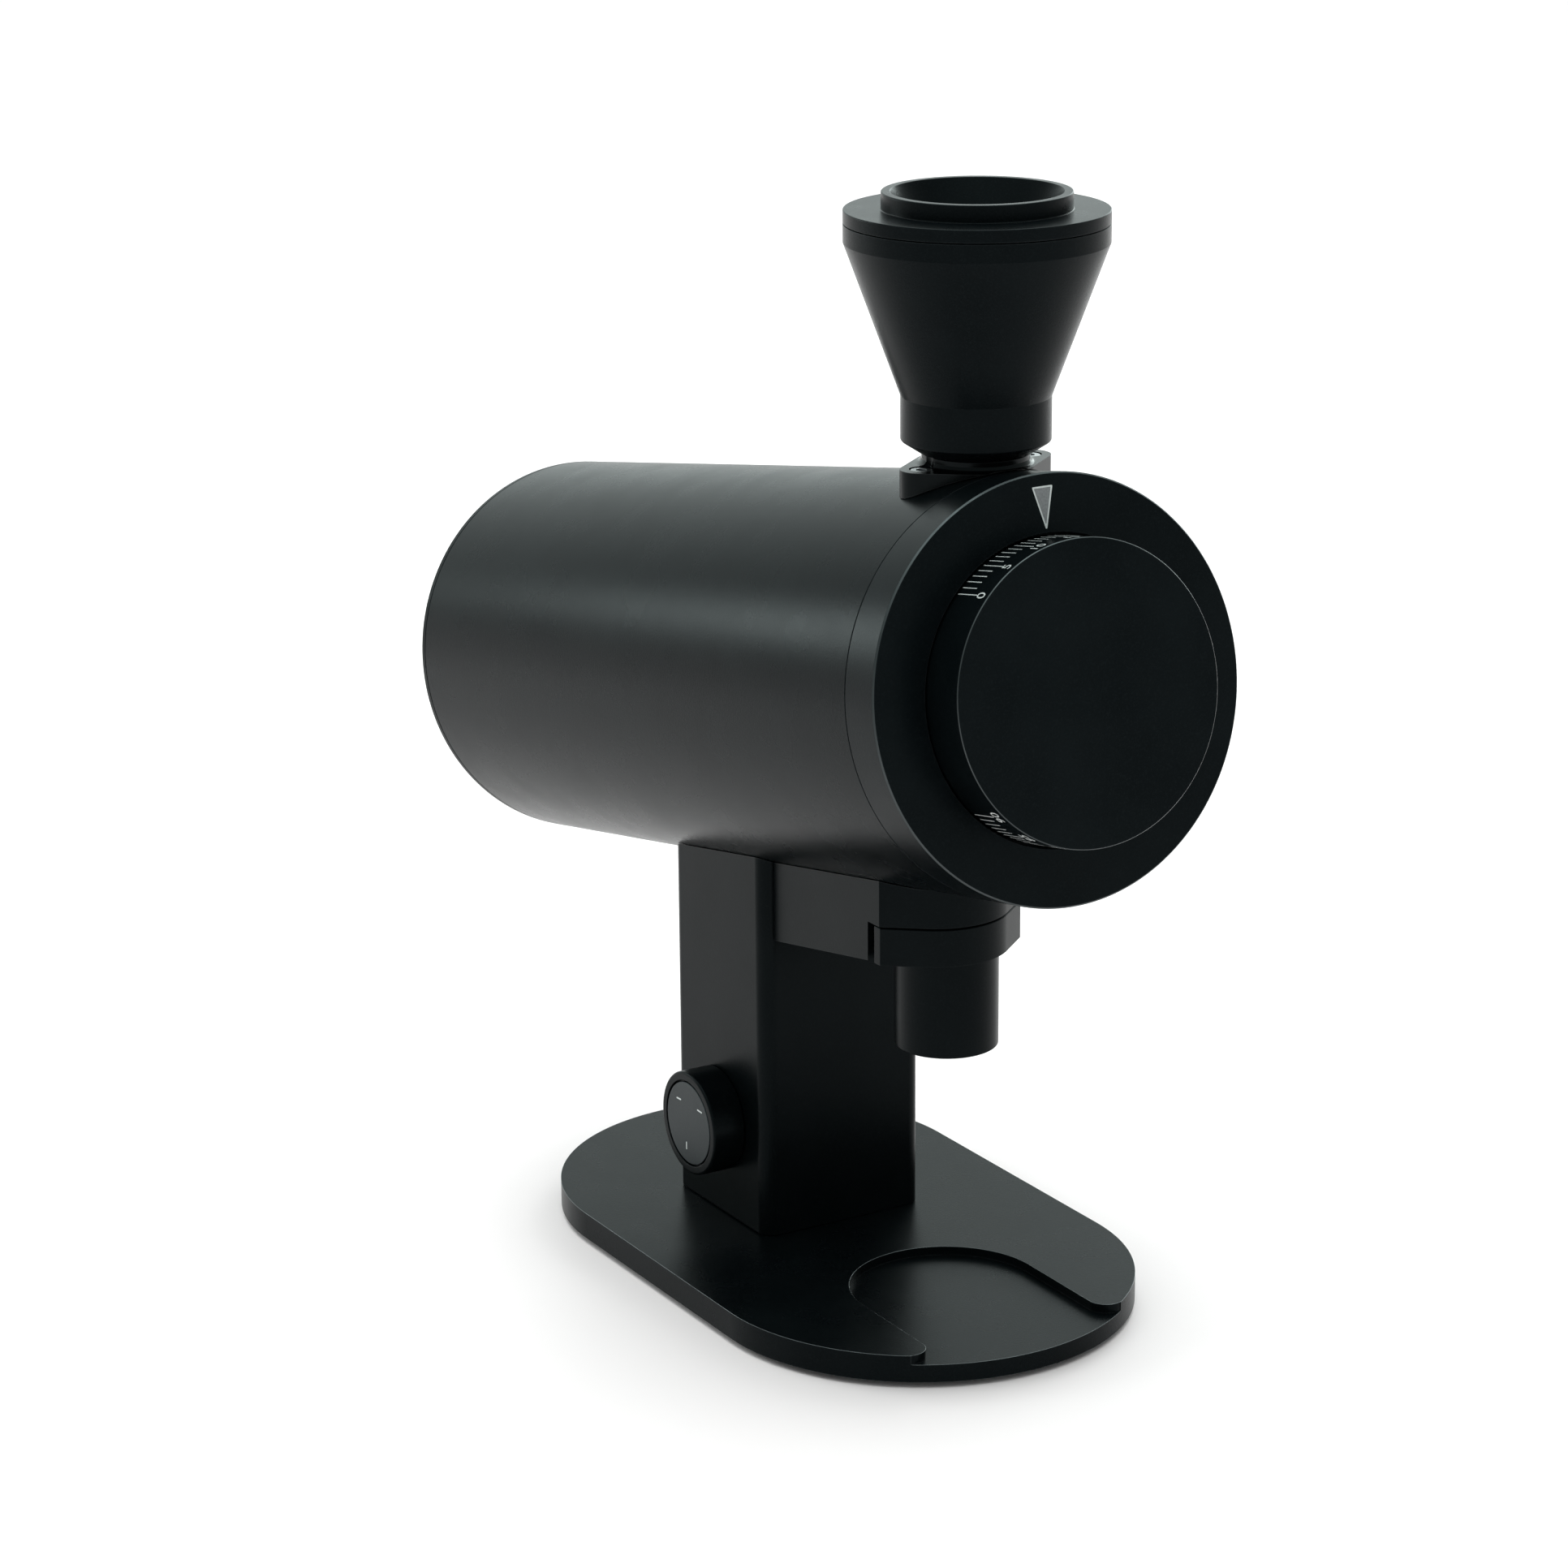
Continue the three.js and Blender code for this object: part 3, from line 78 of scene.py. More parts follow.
def centre_of(node):
    """Middle of a CAD node's box, in millimetres from ORIGIN."""
    low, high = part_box(node)
    return ((low + high) / 2 - ORIGIN) / MM


def low_of(node):
    return (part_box(node)[0] - ORIGIN) / MM


def high_of(node):
    return (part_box(node)[1] - ORIGIN) / MM


GAP = 0.3                   # between pieces that meet
PAST = 1                    # how far a cutting tool stands past what it cuts
SKIN = 0.05                 # how near a plane counts as on it
LONG = 400
DIAL_FACETS = 256           # facets of the dial and its ring
ROUND = 192                 # facets of the drum's large circles
MIDDLE = 128                # facets of the hopper and the spout
HOLE = 64                   # facets of the larger holes
SMALL = 48                  # facets of screws and small holes
HEXAGON = 6
DRUM_RADIUS = 65
HOPPER_Y = centre_of("hopper").y
SPOUT_Y = 61.4
COLUMN_MID = centre_of("column").y

# ---- mesh building ------------------------------------------------------


def eased(outline, closed=True, steps=5):
    """Outline of (a, b) or (a, b, radius) points with its corners rounded."""
    points = []
    count = len(outline)
    for i, corner in enumerate(outline):
        radius = corner[2] if len(corner) > 2 else 0
        here = Vector(corner[:2])
        if not radius or (not closed and i in (0, count - 1)):
            points.append(here)
            continue
        before = (Vector(outline[i - 1][:2]) - here).normalized()
        after = (Vector(outline[(i + 1) % count][:2]) - here).normalized()
        angle = before.angle(after)
        reach = radius / math.tan(angle / 2)
        middle = here + (before + after).normalized() * radius / math.sin(angle / 2)
        first = here + before * reach - middle
        sweep = first.angle_signed(here + after * reach - middle)
        for k in range(steps + 1):
            turn = Matrix.Rotation(-sweep * k / steps, 2)
            points.append(middle + turn @ first)
    return points


ON_AXIS = 1e-6


def lathe(outline, segments=ROUND):
    """Body of revolution about Y from (radius, y) points, closed or from axis to axis."""
    on_axis = outline[0][0] == 0 and outline[-1][0] == 0
    points = eased(outline, closed=not on_axis)
    bm = bmesh.new()
    rings = []
    for radius, y in points:
        if radius < ON_AXIS:
            rings.append([bm.verts.new((0, y, 0))])
            continue
        rings.append([bm.verts.new((radius * math.cos(math.tau * k / segments), y,
                                    radius * math.sin(math.tau * k / segments)))
                      for k in range(segments)])
    pairs = list(zip(rings, rings[1:]))
    if not on_axis:
        pairs.append((rings[-1], rings[0]))
    for one, two in pairs:
        for k in range(segments):
            n = (k + 1) % segments
            if len(one) == 1:
                corners = [one[0], two[n], two[k]]
            elif len(two) == 1:
                corners = [one[k], one[n], two[0]]
            else:
                corners = [one[k], one[n], two[n], two[k]]
            bm.faces.new(corners)
    return outward(bm)


def outward(bm):
    bmesh.ops.recalc_face_normals(bm, faces=bm.faces)
    return bm


def moved(bm, matrix):
    bmesh.ops.transform(bm, matrix=matrix, verts=bm.verts)
    return bm


def at(bm, x=0, y=0, z=0):
    return moved(bm, Matrix.Translation((x, y, z)))


def turned(bm, degrees, axis):
    return moved(bm, Matrix.Rotation(math.radians(degrees), 4, axis))


def lathe_up(outline, segments=MIDDLE):
    return turned(lathe(outline, segments), 90, "X")


def rod(radius, start, end, segments=SMALL):
    return lathe([(0, start), (radius, start), (radius, end), (0, end)], segments)


def rod_up(radius, start, end, segments=SMALL):
    return turned(rod(radius, start, end, segments), 90, "X")


def prism(outline, low, high):
    """Flat outline in X and Y, run from z = low to z = high."""
    bm = bmesh.new()
    bottom = [bm.verts.new((x, y, low)) for x, y in outline]
    top = [bm.verts.new((x, y, high)) for x, y in outline]
    bm.faces.new(bottom)
    bm.faces.new(top)
    count = len(outline)
    for i in range(count):
        n = (i + 1) % count
        bm.faces.new([bottom[i], bottom[n], top[n], top[i]])
    return outward(bm)


def block(x0, x1, y0, y1, z0, z1):
    return prism([(x0, y0), (x1, y0), (x1, y1), (x0, y1)], z0, z1)


def arc(cx, cy, radius, start, end, steps):
    """Points of an arc, with angles in degrees."""
    return [(cx + radius * math.cos(math.radians(start + (end - start) * k / steps)),
             cy + radius * math.sin(math.radians(start + (end - start) * k / steps)))
            for k in range(steps + 1)]


def as_object(bm, name="tool"):
    mesh = bpy.data.meshes.new(name)
    bm.to_mesh(mesh)
    bm.free()
    ob = bpy.data.objects.new(name, mesh)
    bpy.context.scene.collection.objects.link(ob)
    return ob


def combined(base, tools, operation):
    """base with every tool cut from it or joined to it."""
    if not tools:
        return base
    ob = as_object(base)
    others = [as_object(tool) for tool in tools]
    for other in others:
        modifier = ob.modifiers.new("cut", "BOOLEAN")
        modifier.object = other
        modifier.operation = operation
        modifier.solver = "MANIFOLD"
    graph = bpy.context.evaluated_depsgraph_get()
    bm = bmesh.new()
    bm.from_mesh(ob.evaluated_get(graph).to_mesh())
    for spent in [ob, *others]:
        mesh = spent.data
        bpy.data.objects.remove(spent)
        bpy.data.meshes.remove(mesh)
    return bm


def cut(base, *tools):
    return combined(base, tools, "DIFFERENCE")


def join(base, *tools):
    return combined(base, tools, "UNION")


SAME_POINT = 0.002
FLAT = math.radians(0.3)
SHARP = math.radians(30)
CREASE = math.radians(32)
ROUNDING_STEPS = 3


def cleaned(bm):
    """Merges what the cutting tools split, so that flat faces are whole again."""
    bmesh.ops.remove_doubles(bm, verts=bm.verts, dist=SAME_POINT)
    bmesh.ops.dissolve_limit(bm, angle_limit=FLAT, verts=bm.verts, edges=bm.edges)
    return outward(bm)


def softened(bm, width, where=None, material=-1):
    """Rounds the sharp edges whose middle passes the test where."""
    cleaned(bm)
    edges = [e for e in bm.edges
             if len(e.link_faces) == 2 and e.calc_face_angle(0) > SHARP
             and (where is None or where((e.verts[0].co + e.verts[1].co) / 2))]
    bmesh.ops.bevel(bm, geom=edges, offset=width, offset_type="OFFSET",
                    segments=ROUNDING_STEPS, profile=0.5, affect="EDGES",
                    clamp_overlap=True, material=material)
    return bm


# ---- materials ----------------------------------------------------------
# Noise scales are per metre; bump depths and bevel radii are in metres.
COAT_ROUGHNESS = 0.15
EDGE_DOTS = (0.86, 0.985)   # cosine between face and rounded normal: full painted highlight, none
COOL = (0.80, 0.96, 1.0)
SAME_IN_ALL = (1, 1, 1)


class Shader:
    """A Principled material with helpers to add procedural detail."""

    def __init__(self, name, colour, roughness, metallic=0.0, specular=0.5, coat=0.0,
                 tint=SAME_IN_ALL):
        self.material = bpy.data.materials.new(name)
        self.material.use_nodes = True
        self.tree = self.material.node_tree
        self.body = self.tree.nodes["Principled BSDF"]
        self.body.inputs["Base Color"].default_value = (*colour, 1)
        self.body.inputs["Roughness"].default_value = roughness
        self.body.inputs["Metallic"].default_value = metallic
        self.body.inputs["Specular IOR Level"].default_value = specular
        self.body.inputs["Specular Tint"].default_value = (*tint, 1)
        self.body.inputs["Coat Weight"].default_value = coat
        self.body.inputs["Coat Roughness"].default_value = COAT_ROUGHNESS
        self.place = self.node("ShaderNodeTexCoord").outputs["Object"]
        self.colour = (*colour, 1)
        self.height = None

    def node(self, kind, **settings):
        made = self.tree.nodes.new(kind)
        for key, value in settings.items():
            setattr(made, key, value)
        return made

    def link(self, source, target):
        self.tree.links.new(source, target)

    def noise(self, scale, detail=2.0, stretch=None, roughness=0.5):
        texture = self.node("ShaderNodeTexNoise")
        texture.inputs["Scale"].default_value = scale
        texture.inputs["Detail"].default_value = detail
        texture.inputs["Roughness"].default_value = roughness
        if stretch:
            mapping = self.node("ShaderNodeMapping")
            mapping.inputs["Scale"].default_value = stretch
            self.link(self.place, mapping.inputs["Vector"])
            self.link(mapping.outputs["Vector"], texture.inputs["Vector"])
        else:
            self.link(self.place, texture.inputs["Vector"])
        return texture.outputs["Fac"]

    def spread(self, value, low, high, start=0.3, end=0.7):
        ramp = self.node("ShaderNodeMapRange")
        ramp.inputs["From Min"].default_value = start
        ramp.inputs["From Max"].default_value = end
        ramp.inputs["To Min"].default_value = low
        ramp.inputs["To Max"].default_value = high
        self.link(value, ramp.inputs["Value"])
        return ramp.outputs["Result"]

    def tinted(self, value, other):
        """Mixes the base colour towards another where value is high."""
        mix = self.node("ShaderNodeMix", data_type="RGBA")
        base = self.body.inputs["Base Color"]
        if base.is_linked:
            self.link(base.links[0].from_socket, mix.inputs["A"])
        else:
            mix.inputs["A"].default_value = self.colour
        mix.inputs["B"].default_value = (*other, 1)
        self.link(value, mix.inputs["Factor"])
        self.link(mix.outputs["Result"], base)

    def vary_roughness(self, value, low, high):
        self.link(self.spread(value, low, high), self.body.inputs["Roughness"])

    def bump(self, value, depth, strength=1.0):
        """Adds height to the surface; depth is in metres."""
        bump = self.node("ShaderNodeBump")
        bump.inputs["Distance"].default_value = depth
        bump.inputs["Strength"].default_value = strength
        self.link(value, bump.inputs["Height"])
        if self.height is not None:
            self.link(self.height, bump.inputs["Normal"])
        self.height = bump.outputs["Normal"]
        self.link(self.height, self.body.inputs["Normal"])

    def painted_edge_highlight(self, radius, other, amount):
        """Paints a highlight on the edges: their colour is made lighter where they would catch
        the light.
        """
        bevel = self.node("ShaderNodeBevel", samples=4)
        bevel.inputs["Radius"].default_value = radius
        face = self.node("ShaderNodeNewGeometry")
        dot = self.node("ShaderNodeVectorMath", operation="DOT_PRODUCT")
        self.link(bevel.outputs["Normal"], dot.inputs[0])
        self.link(face.outputs["Normal"], dot.inputs[1])
        # Painted highlight: the mask is strongest on the edges and is broken up by noise.
        edge = self.spread(dot.outputs["Value"], amount, 0.0, *EDGE_DOTS)
        broken = self.node("ShaderNodeMath", operation="MULTIPLY")
        self.link(edge, broken.inputs[0])
        self.link(self.spread(self.noise(260, 3), 0.35, 1.0), broken.inputs[1])
        self.tinted(broken.outputs["Value"], other)


def blasted(name, colour, roughness, grain, specular, lighter, painted_highlight_amount=0.5):
    """Bead-blasted and anodised: fine grain, slow cloudiness, and a painted highlight that makes
    the edges a little bright.
    """
    made = Shader(name, colour, roughness, specular=specular, tint=COOL)
    made.tinted(made.spread(made.noise(38, 3), 0.0, 0.5), lighter)
    made.tinted(made.spread(made.noise(1500, 3), 0.0, 0.8, 0.5, 0.75), lighter)
    made.vary_roughness(made.noise(55, 4), roughness - 0.02, roughness + 0.02)
    made.bump(made.noise(1500, 4, roughness=0.7), grain, 0.9)
    # Painted highlight: the edges get a lighter colour, standing in for light caught on them.
    made.painted_edge_highlight(0.0006, [c * 5 + 0.035 for c in colour], painted_highlight_amount)
    return made.material


def machined(name, colour, roughness, stretch, depth=0.00002):
    """Turned or ground metal with fine tool marks across the stretch direction."""
    made = Shader(name, colour, roughness, metallic=1.0)
    made.tinted(made.spread(made.noise(120, 3), 0.0, 0.4), [c * 0.72 for c in colour])
    made.vary_roughness(made.noise(300, 3), roughness - 0.06, roughness + 0.09)
    made.bump(made.noise(900, 3, stretch=stretch), depth, 0.5)
    # Painted highlight: the edges get a lighter colour, standing in for light caught on them.
    made.painted_edge_highlight(0.0004, [min(1, c * 1.3) for c in colour], 0.5)
    return made.material


BLACK = (0.0008, 0.0015, 0.0019)
ANODISED = blasted("anodised", BLACK, 0.28, 0.000042, 0.06, (0.0040, 0.0054, 0.0060))
DIAL_BLACK = blasted("anodised_fine", (0.0010, 0.0019, 0.0024), 0.30, 0.000038, 0.07,
                     (0.0044, 0.0062, 0.0070))
SATIN = blasted("satin_black", (0.0008, 0.0014, 0.0017), 0.30, 0.000020, 0.06,
                (0.0036, 0.0048, 0.0054), 0.25)
POLISHED = blasted("polished_black", (0.001, 0.0011, 0.0012), 0.19, 0.000004, 0.10,
                   (0.003, 0.003, 0.003))
MOULDED = blasted("moulded_black", (0.012, 0.0125, 0.0135), 0.5, 0.00004, 0.4,
                  (0.02, 0.021, 0.022), 0.2)
EDGE = machined("bare_edge", (0.16, 0.175, 0.18), 0.3, SAME_IN_ALL, 0.000004)
CHAMFER = machined("bright_chamfer", (0.06, 0.068, 0.07), 0.34, SAME_IN_ALL, 0.000004)
KNOB_FACE = blasted("knob_face", (0.008, 0.011, 0.012), 0.34, 0.00002, 0.18,
                    (0.016, 0.020, 0.021), 0.2)
RUBBER = blasted("rubber", (0.018, 0.018, 0.018), 0.82, 0.00005, 0.25,
                 (0.03, 0.03, 0.03), 0.1)
STEEL = machined("steel", (0.42, 0.43, 0.44), 0.3, (1, 6, 1))
BURR = machined("burr_steel", (0.55, 0.56, 0.57), 0.24, (4, 1, 4))
ALUMINIUM = machined("turned_aluminium", (0.56, 0.57, 0.58), 0.32, (1, 9, 1), 0.000035)
LAMINATION = machined("lamination", (0.2, 0.21, 0.22), 0.45, (0.05, 6, 0.05), 0.00008)
COPPER = machined("copper", (0.62, 0.27, 0.12), 0.3, (1, 5, 1), 0.00009)


def marking_paint():
    made = Shader("marking", (0.62, 0.64, 0.63), 0.55, specular=0.3)
    made.tinted(made.spread(made.noise(900, 3), 0.0, 0.6), (0.44, 0.46, 0.46))
    made.bump(made.noise(3000, 2), 0.000006, 0.4)
    return made.material


def pointer_fill():
    made = Shader("pointer_fill", (0.15, 0.155, 0.16), 0.5, specular=0.35)
    made.tinted(made.spread(made.noise(1800, 3), 0.0, 0.7), (0.24, 0.245, 0.25))
    made.bump(made.noise(3000, 2), 0.000015, 0.5)
    return made.material


def circuit_board():
    made = Shader("circuit_board", (0.02, 0.13, 0.05), 0.42, coat=0.3)
    made.tinted(made.spread(made.noise(420, 2, (1, 1, 6)), 0.0, 0.8, 0.5, 0.6),
                (0.04, 0.2, 0.08))
    made.bump(made.noise(700, 2), 0.00003, 0.4)
    return made.material


MARKING = marking_paint()
POINTER = pointer_fill()
BOARD = circuit_board()

# ---- placing ------------------------------------------------------------


def piece(name, bm, place, materials, body, nodes=()):
    """Finishes a mesh as an object that rides on a body and stands for CAD nodes."""
    moved(bm, place @ Matrix.Scale(MM, 4))
    outward(bm)
    ob = as_object(bm, name)
    for material in materials if isinstance(materials, list) else [materials]:
        ob.data.materials.append(material)
    ob.data.polygons.foreach_set("use_smooth", [True] * len(ob.data.polygons))
    ob.data.set_sharp_from_angle(angle=CREASE)
    shading = ob.modifiers.new("flat_faces", "WEIGHTED_NORMAL")
    shading.keep_sharp = True
    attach(ob, body)
    if nodes:
        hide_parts(*nodes)


def spun(bm, degrees):
    """Turned about the drum axis, clockwise from the front, from the top towards +X."""
    return turned(bm, degrees, "Y")


def upright_hole(radius, x, back, span):
    """An upright hole, as a tool in the drum frame."""
    tool = at(rod_up(radius, *span, HOLE), x, back)
    return turned(tool, math.degrees(TILT), "X")


def drum_tool(grow=GAP):
    """The drum with its clearance, as a tool in the upright frame."""
    return turned(rod(DRUM_RADIUS + grow, -LONG, LONG, ROUND), -math.degrees(TILT), "X")


UPPER = (20, 80)            # span of a hole through the drum's upper wall
LOWER = (-120, -35)         # and through its lower wall
BOLT_SHANK = 2.5


def socket_bolt(shank, length, head, head_deep):
    """Cap screw pointing up, its head's outer face at z = 0."""
    body = lathe_up([(0, 0), (head, 0, 0.35), (head, head_deep, 0.2), (shank, head_deep),
                     (shank, head_deep + length, 0.3), (0, head_deep + length)], SMALL)
    socket = rod_up(head * 0.5, -PAST, head_deep * 0.55, HEXAGON)
    return softened(cut(body, socket), 0.12,
                    lambda m: m.z < 2 * SKIN and m.xy.length < head * 0.6)


# ---- base ---------------------------------------------------------------
BASE_HALF = 70.5
BASE_FRONT = 78
BASE_REAR = 175
BASE_LOW = low_of("base_plate").z
BASE_HIGH = high_of("base_plate").z
SEAT_RADIUS = 31.5
SEAT_BACK = 60.5
SEAT_FLOOR = BASE_HIGH - 3
SEAT_HORN = 6
FEET = ("foot_front_left", "foot_front_right", "foot_rear_left", "foot_rear_right")
FOOT_RECESS = 9.3
FOOT_RECESS_DEEP = 1.5
BASE_BOLT_X = 18
BASE_BOLT_LENGTH = 11
BOLT_HEAD = 4.6
BOLT_HEAD_DEEP = 4
BOLT_RECESS_DEEP = 4.8


def seat_outline():
    """Plan of the cup seat: a round pocket that opens to the front between two horns."""
    horn = SEAT_RADIUS + SEAT_HORN
    horn_y = BASE_FRONT - math.sqrt((BASE_HALF - SEAT_HORN) ** 2 - horn ** 2)
    low = BASE_FRONT - BASE_HALF - SEAT_HORN
    reach = horn - SEAT_HORN * math.cos(math.radians(70)) + 2
    return (arc(0, SEAT_BACK, SEAT_RADIUS, 0, 180, 96)
            + arc(-horn, horn_y, SEAT_HORN, 0, -110, 24)
            + [(-reach, low), (reach, low)]
            + arc(horn, horn_y, SEAT_HORN, 290, 180, 24))


def build_base():
    outline = (arc(0, BASE_FRONT, BASE_HALF, 180, 360, 128)
               + arc(0, BASE_REAR, BASE_HALF, 0, 180, 128))
    plate = prism(outline, BASE_LOW, BASE_HIGH)
    under = BASE_LOW - PAST
    tools = [prism(seat_outline(), SEAT_FLOOR, BASE_HIGH + PAST)]
    for foot in FEET:
        spot = centre_of(foot)
        recess = rod_up(FOOT_RECESS, under, BASE_LOW + FOOT_RECESS_DEEP, HOLE)
        tools.append(at(recess, spot.x, spot.y))
    for x in (-BASE_BOLT_X, BASE_BOLT_X):
        tools.append(at(rod_up(BOLT_SHANK + GAP, under, BASE_HIGH + PAST), x, COLUMN_MID))
        tools.append(at(rod_up(BOLT_HEAD + GAP, under, BASE_LOW + BOLT_RECESS_DEEP),
                        x, COLUMN_MID))
    near = 2 * SKIN

    def on_rim(m):
        """On the top or the bottom face, or where the seat's floor meets the front."""
        from_front = (m.xy - Vector((0, BASE_FRONT))).length
        return (m.z > BASE_HIGH - near or m.z < BASE_LOW + near
                or (SEAT_FLOOR - near < m.z < SEAT_FLOOR + near
                    and from_front > BASE_HALF - 2 * near))

    plate = softened(cut(plate, *tools), 0.5, on_rim, material=1)
    piece("base_plate_body", plate, UPRIGHT, [ANODISED, EDGE], "stand", ["base_plate"])
    for foot in FEET:
        spot = centre_of(foot)
        pad = lathe_up([(0, -2), (7.6, -2), (9, -1.3, 0.5), (9, 1.2, 0.2), (0, 1.2)], HOLE)
        grip = [turned(at(rod_up(1.1, -3, -1.5, 24), 5.2), 45 * k, "Z") for k in range(8)]
        piece(foot + "_pad", at(cut(pad, *grip), spot.x, spot.y, BASE_LOW), UPRIGHT, RUBBER,
              "stand", [foot])
    for i, x in enumerate((-BASE_BOLT_X, BASE_BOLT_X), 1):
        bolt = socket_bolt(BOLT_SHANK, BASE_BOLT_LENGTH, BOLT_HEAD, BOLT_HEAD_DEEP)
        piece(f"base_bolt_{i}_cap", at(bolt, x, COLUMN_MID, BASE_LOW + 0.2), UPRIGHT, STEEL,
              "stand", [f"base_bolt_{i}"])


# ---- column, rear panel, inlet ------------------------------------------
COLUMN_HALF = 30.4
COLUMN_CORNER = 5
COLUMN_WALL = 3
COLUMN_FLOOR = 9
COLUMN_FRONT = low_of("column").y
COLUMN_BACK = high_of("column").y
PANEL_HALF = 22
PANEL_LOW = low_of("rear_panel").z
PANEL_HIGH = high_of("rear_panel").z
PANEL_THICK = 2.2
PANEL_SCREWS = (PANEL_LOW + 5, PANEL_HIGH - 5)
PANEL_SCREW_HOLE = 1.7
LEDGE_HIGH = 9.5            # the panel's screws sit in two ledges
LEDGE_BACK = 2.5
KNOB_Z = centre_of("knob_face").z
KNOB_HOLE = 4.7
INLET_Z = -181
SADDLE_THICK = 9            # of the column's top, under the drum
LEAD_HOLE = 8               # from the drum into the column
SADDLE_AXIS = (COLUMN_MID + DRUM_RADIUS * math.sin(TILT)) / math.cos(TILT)


def rounded_box(x0, x1, y0, y1, corner):
    """Outline of a box with round corners."""
    return (arc(x1 - corner, y0 + corner, corner, -90, 0, 10)
            + arc(x1 - corner, y1 - corner, corner, 0, 90, 10)
            + arc(x0 + corner, y1 - corner, corner, 90, 180, 10)
            + arc(x0 + corner, y0 + corner, corner, 180, 270, 10))


def build_column():
    low = BASE_HIGH + GAP
    outer = prism(rounded_box(-COLUMN_HALF, COLUMN_HALF, COLUMN_FRONT, COLUMN_BACK,
                              COLUMN_CORNER), low, 0)
    inner = prism(rounded_box(COLUMN_WALL - COLUMN_HALF, COLUMN_HALF - COLUMN_WALL,
                              COLUMN_FRONT + COLUMN_WALL, COLUMN_BACK - COLUMN_WALL, 1),
                  BASE_HIGH + COLUMN_FLOOR, 0)
    shell = cut(outer, drum_tool(), cut(inner, drum_tool(SADDLE_THICK)))
    behind = COLUMN_BACK + PAST
    half = PANEL_HALF - 4
    ledges = [block(-half, half, COLUMN_BACK - 8, COLUMN_BACK - LEDGE_BACK, a, b)
              for a, b in ((PANEL_LOW, PANEL_LOW + LEDGE_HIGH),
                           (PANEL_HIGH - LEDGE_HIGH, PANEL_HIGH))]
    tools = [
        block(-PANEL_HALF - GAP, PANEL_HALF + GAP, COLUMN_BACK - PANEL_THICK - GAP, behind,
              PANEL_LOW - GAP, PANEL_HIGH + GAP),
        block(-half, half, COLUMN_BACK - 6, behind, PANEL_LOW + 10, PANEL_HIGH - 10),
        at(rod_up(LEAD_HOLE, -105, 0, HOLE), 0, COLUMN_MID),
        at(turned(rod(KNOB_HOLE, -LONG, 0), -90, "Z"), 4 - COLUMN_HALF, COLUMN_MID, KNOB_Z)]
    tools += [at(rod_up(BOLT_SHANK + GAP, BASE_HIGH - PAST, BASE_HIGH + 10), x, COLUMN_MID)
              for x in (-BASE_BOLT_X, BASE_BOLT_X)]
    tools += [at(rod(PANEL_SCREW_HOLE, COLUMN_BACK - 20, behind), 0, 0, z)
              for z in PANEL_SCREWS]
    body = softened(cut(join(shell, *ledges), *tools), 0.3,
                    lambda m: m.z < low + SKIN
                    or (m.y > COLUMN_BACK - SKIN and m.z < PANEL_HIGH + 1
                        and abs(m.x) < PANEL_HALF + 1))
    piece("column_body", body, UPRIGHT, SATIN, "stand", ["column"])


def inlet_prism(grow, y0, y1):
    """The inlet's mouth with its two cut corners, grown by a margin, from y0 to y1."""
    w, h, c = 12.2 + grow, 8.2 + grow, 5
    outline = [(-w, -h, 1), (w, -h, 1), (w, h - c, 1), (w - c, h, 1), (c - w, h, 1),
               (-w, h - c, 1)]
    flat = [tuple(p) for p in eased(outline)]
    return at(turned(prism(flat, -y1, -y0), 90, "X"), 0, 0, INLET_Z)


def build_inlet():
    wall = 1.5
    lip = 3.2
    plate = block(-PANEL_HALF, PANEL_HALF, COLUMN_BACK - PANEL_THICK, COLUMN_BACK, PANEL_LOW,
                  PANEL_HIGH)
    span = (COLUMN_BACK - 10, COLUMN_BACK + PAST)
    holes = [at(rod(PANEL_SCREW_HOLE, *span), 0, 0, z) for z in PANEL_SCREWS]
    plate = cut(plate, inlet_prism(wall + GAP, *span), *holes)
    plate = softened(plate, 0.35, lambda m: m.y > COLUMN_BACK - SKIN)
    piece("rear_panel_plate", plate, UPRIGHT, ANODISED, "stand", ["rear_panel"])
    for i, z in enumerate(PANEL_SCREWS, 1):
        screw = lathe([(0, -7), (1.4, -7, 0.3), (1.4, GAP), (2.8, GAP), (2.8, 0.8),
                       (2.2, 1.9, 0.6), (0, 1.9)], SMALL)
        screw = cut(screw, block(-3, 3, 1.2, 3, -0.4, 0.4))
        piece(f"panel_screw_{i}_head", at(screw, 0, COLUMN_BACK, z), UPRIGHT, STEEL, "stand",
              [f"panel_screw_{i}"])
    face = high_of("inlet_body").y
    outside = join(inlet_prism(wall, COLUMN_BACK - 20, COLUMN_BACK + GAP),
                   inlet_prism(lip, COLUMN_BACK + GAP - 0.01, face))
    pins = {"inlet_pin_live": (-7, -2), "inlet_pin_earth": (0, 2),
            "inlet_pin_neutral": (7, -2)}
    holes = [at(block(x - 1.3, x + 1.3, COLUMN_BACK - LONG, COLUMN_BACK, z - 2.3, z + 2.3),
                0, 0, INLET_Z) for x, z in pins.values()]
    body = cut(outside, inlet_prism(0, COLUMN_BACK - 18, COLUMN_BACK + 10), *holes)
    body = softened(body, 0.4, lambda m: m.y > face - SKIN)
    piece("inlet_socket", body, UPRIGHT, MOULDED, "stand", ["inlet_body"])
    for name, (x, z) in pins.items():
        pin = softened(block(-1, 1, -24, -3, -2, 2), 0.35)
        piece(name + "_blade", at(pin, x, COLUMN_BACK, INLET_Z + z), UPRIGHT, STEEL, "stand",
              [name])


# ---- knob ---------------------------------------------------------------
KNOB_RADIUS = 17.6
KNOB_DEEP = 12.2
KNOB_FACE_RADIUS = 14.1
KNOB_FACE_FRONT = KNOB_DEEP - 0.1
KNOB_MARK_WIDTH = 0.55


